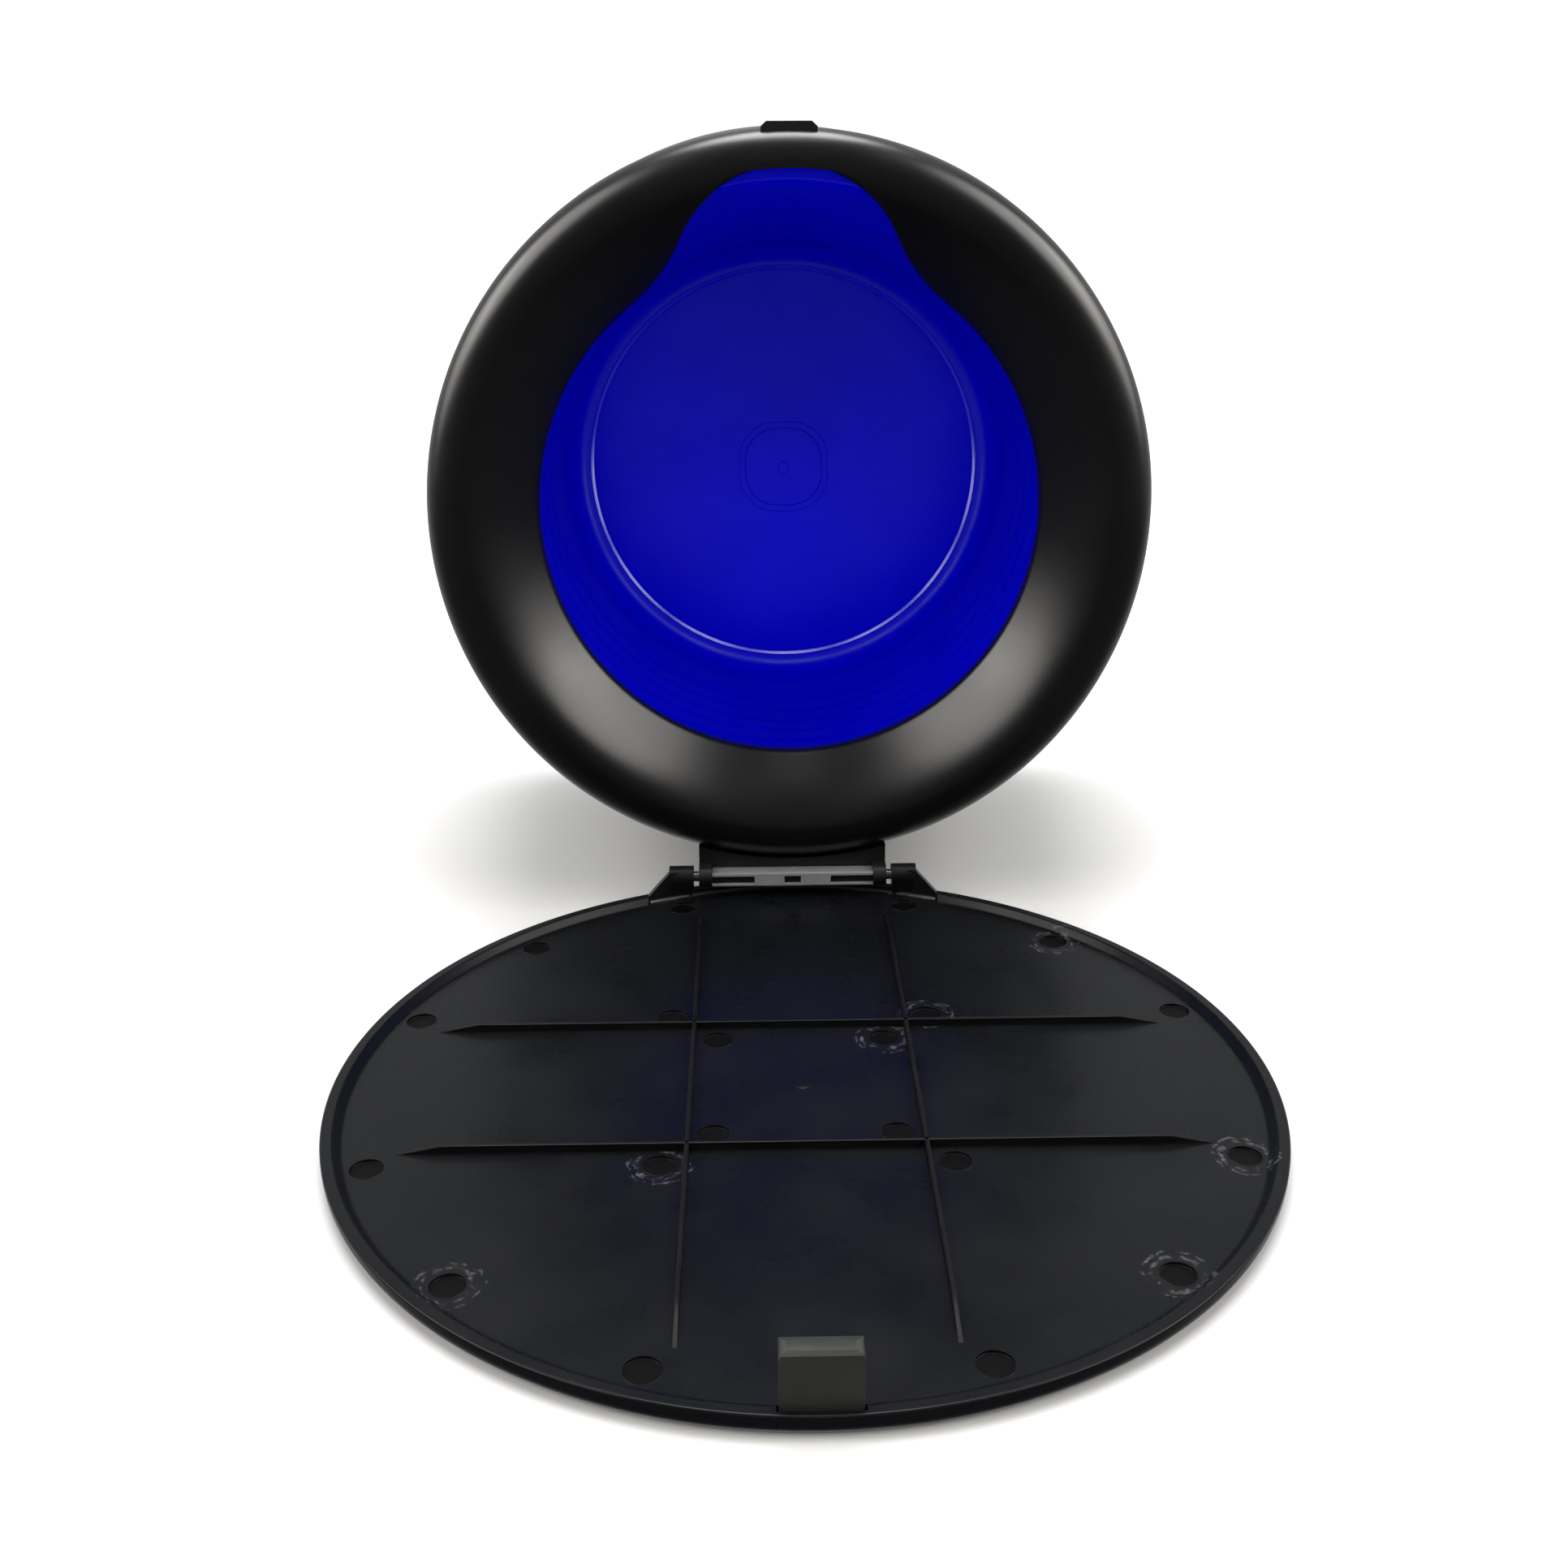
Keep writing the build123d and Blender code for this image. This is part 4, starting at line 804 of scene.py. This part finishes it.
def makeShell():
    run = math.hypot(shell["base"][0] - shell["top"][0], shell["base"][1] - shell["top"][1])
    outer = hermiteLine(shell["top"], shell["base"], (0, -run), (0, -run), 60)
    wall = shell["wall"]
    inner = [(r - wall, t) for r, t in outer if t < shell["flange"][1] - 0.5]
    base, round_ = shell["base"], shell["baseRound"]
    arc = [(base[0] - round_ + round_ * math.cos(a), base[1] - round_ * math.sin(a))
           for a in (math.radians(9 * k) for k in range(1, 11))]
    line = [(shell["top"][0] - 0.25, shell["top"][1]), (shell["top"][0] - 0.07, shell["top"][1] - 0.07),
            (shell["top"][0], shell["top"][1] - 0.25)] + outer[1:] + arc + [(base[0] - wall, -shell["depth"])]
    line += inner[::-1]
    line += roundedLine([(81.5 - wall, shell["flange"][1], 0), (shell["flangeInner"], shell["flange"][1], 0.3),
                         (shell["flangeInner"], shell["flange"][0], 0.3),
                         (shell["lip"][0], shell["flange"][0], 0.3),
                         (shell["lip"][0], shell["lipTop"], 0.3), (shell["lip"][1], shell["lipTop"], 0.3),
                         (shell["lip"][1], shell["top"][1], 0)], guard=0.05)[1:]
    return addPiece("outerShell", ringMesh("outerShell", turnedRings(line, 360), headSpace, closed=True), 45)


rideAs(makeShell(), "head", "shell_black", finishOf("shellAbs"), "outer_shell")

plate = {"radius": 85.6, "outside": -92.9, "inside": -90.9, "ribTop": -89.05, "ribs": (28.0, 46.0),
         "ribWidth": 1.6}


def makePlate():
    corners = [(0, plate["inside"], 0)]
    low, top = plate["inside"], plate["ribTop"]
    for radius in plate["ribs"]:
        for share, height in ((-0.5, low), (-0.5, top), (0.5, top), (0.5, low)):
            corners.append((radius + share * plate["ribWidth"], height, 0.15))
    corners += [(plate["radius"], low, 0.3), (plate["radius"], plate["outside"], 0.6), (0, plate["outside"], 0)]
    rings = turnedRings(roundedLine(corners, guard=0.05), 288)
    return addPiece("basePlate", ringMesh("basePlate", rings, headSpace), 45)


rideAs(makePlate(), "head", "base_black", finishOf("baseAbs"), "base_plate")

feet = {"radius": 7.0, "height": 3.4, "sunk": -92.3, "ring": 64.0, "angles": (45, 135, 225, 315)}
footLine = roundedLine([(0, 0.02, 0), (feet["radius"], 0.02, 0.1), (feet["radius"], -feet["height"], 0.8),
                        (4.4, -feet["height"], 0.3), (3.8, -feet["height"] + 0.5, 0.4),
                        (0, -feet["height"] + 0.6, 0)], guard=0.05)


def roundPlaces(ring, angles, height):  # places spread on a circle about the head's axis
    return [(ring * math.cos(math.radians(a)), ring * math.sin(math.radians(a)), height, 0.0) for a in angles]


rideAs(setOnPoints("rubberFeet", turnedTemplate("foot", footLine, 72),
                   roundPlaces(feet["ring"], feet["angles"], feet["sunk"]), headSpace, finishOf("footRubber")),
       "head", "foot_rubber", finishOf("footRubber"), "foot_1", "foot_2", "foot_3", "foot_4")

screws = {"head": 2.8, "headHeight": 1.7, "shank": 1.5, "socket": 2.0, "socketDepth": 1.0, "length": 8.0,
          "ring": 80.0, "angles": (0, 90, 180, 270)}


def screwTemplate():  # a low round head with a hexagon socket; +z is the head's side
    def socketShape(radius, angle):
        near = max(0.0, min(1.0, (2.5 - radius) / 0.5)) if radius > 0.6 else 1.0
        flat = math.cos(math.radians(30)) / math.cos((angle % (math.pi / 3)) - math.pi / 6)
        return radius * (1 + near * (flat - 1))

    top, deep, end = screws["headHeight"], screws["headHeight"] - screws["socketDepth"], -screws["length"]
    line = roundedLine([(0, deep - 0.25, 0), (1.2, deep, 0), (screws["socket"], deep, 0.05),
                        (screws["socket"], top, 0.06), (screws["head"], top - 0.08, 0.45),
                        (screws["head"], 0, 0.08), (screws["shank"], 0, 0.1), (screws["shank"], end, 0.3),
                        (0, end, 0)], guard=0.02)
    return turnedTemplate("screw", line, 60, socketShape)


# the base screws' heads face away from the mouth, so their space is turned over
backSpace = headSpace @ Matrix.Rotation(math.pi, 4, "X")
screwPlaces = roundPlaces(screws["ring"], screws["angles"], -plate["outside"])
rideAs(setOnPoints("baseScrews", screwTemplate(), screwPlaces, backSpace, screwZinc, twist=6.2, seed=4),
       "head", "screw_steel", screwZinc, "base_screws")
armScrews = frame["nodes"]["arm_screws"]
armScrews.data.materials.clear()
armScrews.data.materials.append(screwZinc)
print("shell, base and feet made")

# floor, light and camera
studio = {"floorRadius": 6.0, "floorColour": "BCBCBC", "backdrop": 1.02, "skyFront": 0.07, "skyBack": 0.64}
# Elevation and azimuth in degrees (azimuth 0 is the front), apparent width, strength and colour; polished faces
# show every lamp that doesn't say otherwise.
softLights = {
    "overhead": {"up": 104, "round": 0, "width": 31, "strength": 2.8, "colour": (1.0, 0.97, 0.965)},
    "topFront": {"up": 82, "round": 0, "width": 12, "strength": 0.08, "colour": (1.0, 0.98, 0.98)},
    "leftSide": {"up": 40, "round": -72, "width": 40, "strength": 2.0, "colour": (1.0, 0.975, 0.93)},
    "rightSide": {"up": 40, "round": 72, "width": 40, "strength": 2.0, "colour": (1.0, 0.975, 0.93)},
    "leftLow": {"up": 24, "round": -90, "width": 34, "strength": 1.1, "colour": (1.0, 0.96, 0.9)},
    "rightLow": {"up": 24, "round": 90, "width": 34, "strength": 1.1, "colour": (1.0, 0.96, 0.9)},
    "smallFront": {"up": 40, "round": 2, "width": 9, "strength": 0.15, "colour": (1.0, 0.99, 0.98)},
    "frontFill": {"up": 24, "round": 0, "width": 70, "strength": 0.8, "colour": (0.96, 0.98, 1.0),
                  "shines": False},
    "backFill": {"up": 42, "round": 180, "width": 90, "strength": 3.2, "colour": (0.95, 0.98, 1.0),
                 "shines": False}}
bowlRing = {"lamps": 7, "offAxis": math.radians(38), "width": 15, "strength": 0.24}
for step in range(bowlRing["lamps"]):     # half a ring of small lamps above the lens, aimed into the bowl alone
    turn = math.radians(-90 + 180 * step / (bowlRing["lamps"] - 1))
    aside, ahead = math.sin(bowlRing["offAxis"]), math.cos(bowlRing["offAxis"])
    softLights["bowlRing" + str(step)] = {
        "up": math.degrees(math.asin(aside * math.cos(turn))), "width": bowlRing["width"],
        "round": math.degrees(math.atan2(aside * math.sin(turn), ahead)), "strength": bowlRing["strength"],
        "colour": (1.0, 1.0, 1.0)}
floorMesh = ringMesh("floor", turnedRings([(studio["floorRadius"] / mm, -0.02), (0, -0.02)], 96), lidSpace)
floor = bpy.data.objects.new("floor", floorMesh)
bpy.context.scene.collection.objects.link(floor)
floorPaper = bpy.data.materials.new("floorPaper")
floorPaper.use_nodes = True
paperFace = floorPaper.node_tree.nodes["Principled BSDF"].inputs
paperFace["Base Color"].default_value = hexColour(studio["floorColour"])
paperFace["Roughness"].default_value = 0.9
paperFace["Specular IOR Level"].default_value = 0.1
floorMesh.materials.append(floorPaper)
floor.visible_glossy = False      # a small table: polished faces turned to the floor see the dark room

world = bpy.data.worlds.new("studio")
bpy.context.scene.world = world
world.use_nodes = True
sky = world.node_tree
sky.nodes.clear()
seen = addNode(sky, "ShaderNodeLightPath").outputs["Is Camera Ray"]
way = addNode(sky, "ShaderNodeSeparateXYZ", None, {0: addNode(sky, "ShaderNodeTexCoord").outputs["Generated"]})
behind = addNode(sky, "ShaderNodeMapRange", {"clamp": True, "interpolation_type": "SMOOTHSTEP"},
                 {"Value": way.outputs["Y"], "From Min": -0.3, "From Max": 0.8, "To Min": studio["skyFront"],
                  "To Max": studio["skyBack"]})
dim = addNode(sky, "ShaderNodeBackground", None, {"Color": (0.97, 0.98, 1.0, 1), "Strength": behind.outputs[0]})
white = addNode(sky, "ShaderNodeBackground", None, {"Color": (1, 1, 1, 1), "Strength": studio["backdrop"]})
mixed = addNode(sky, "ShaderNodeMixShader", None, {0: seen, 1: dim.outputs[0], 2: white.outputs[0]})
addNode(sky, "ShaderNodeOutputWorld", None, {"Surface": mixed.outputs[0]})

flagged = {"smallFront": ("lidPlate", "lidRibs", "bracketWallFoot", "latchTongue", "hingeBar", "gateStub")}
for lampName, soft in softLights.items():  # suns with a wide disc: the same light everywhere, with soft shadows
    lamp = bpy.data.lights.new(lampName, "SUN")
    lamp.energy, lamp.angle, lamp.color = soft["strength"], math.radians(soft["width"]), soft["colour"]
    holder = bpy.data.objects.new(lampName, lamp)
    holder.rotation_euler = (math.radians(90 - soft["up"]), 0, math.radians(soft["round"]))
    holder.visible_glossy = soft.get("shines", True)
    bpy.context.scene.collection.objects.link(holder)
    if lampName in flagged or lampName.startswith("bowlRing"):   # flags keep these off the collar
        lit = bpy.data.collections.new(lampName + "Falls")
        for pieceName in flagged.get(lampName, ("crushingBowl", "bowlFloorEdge")):
            lit.objects.link(bpy.data.objects[pieceName])
        holder.light_linking.receiver_collection = lit

camera = {"place": (-0.0081, -0.2706, 0.1710), "lens": 37.39, "pitchDown": 21.46, "yawRight": 0.99, "roll": -0.29}
lensData = bpy.data.cameras.new("camera")
lensData.lens, lensData.sensor_width = camera["lens"], 36
lensData.clip_start, lensData.clip_end = 0.01, 100
eye = bpy.data.objects.new("camera", lensData)
yaw = Matrix.Rotation(math.radians(-camera["yawRight"]), 4, "Z")
pitch = Matrix.Rotation(math.radians(90 - camera["pitchDown"]), 4, "X")
roll = Matrix.Rotation(math.radians(camera["roll"]), 4, "Z")
eye.matrix_world = Matrix.Translation(camera["place"]) @ (yaw @ pitch @ roll)
bpy.context.scene.collection.objects.link(eye)
bpy.context.scene.camera = eye
bpy.context.scene.view_settings.view_transform = "Standard"
print("studio made")
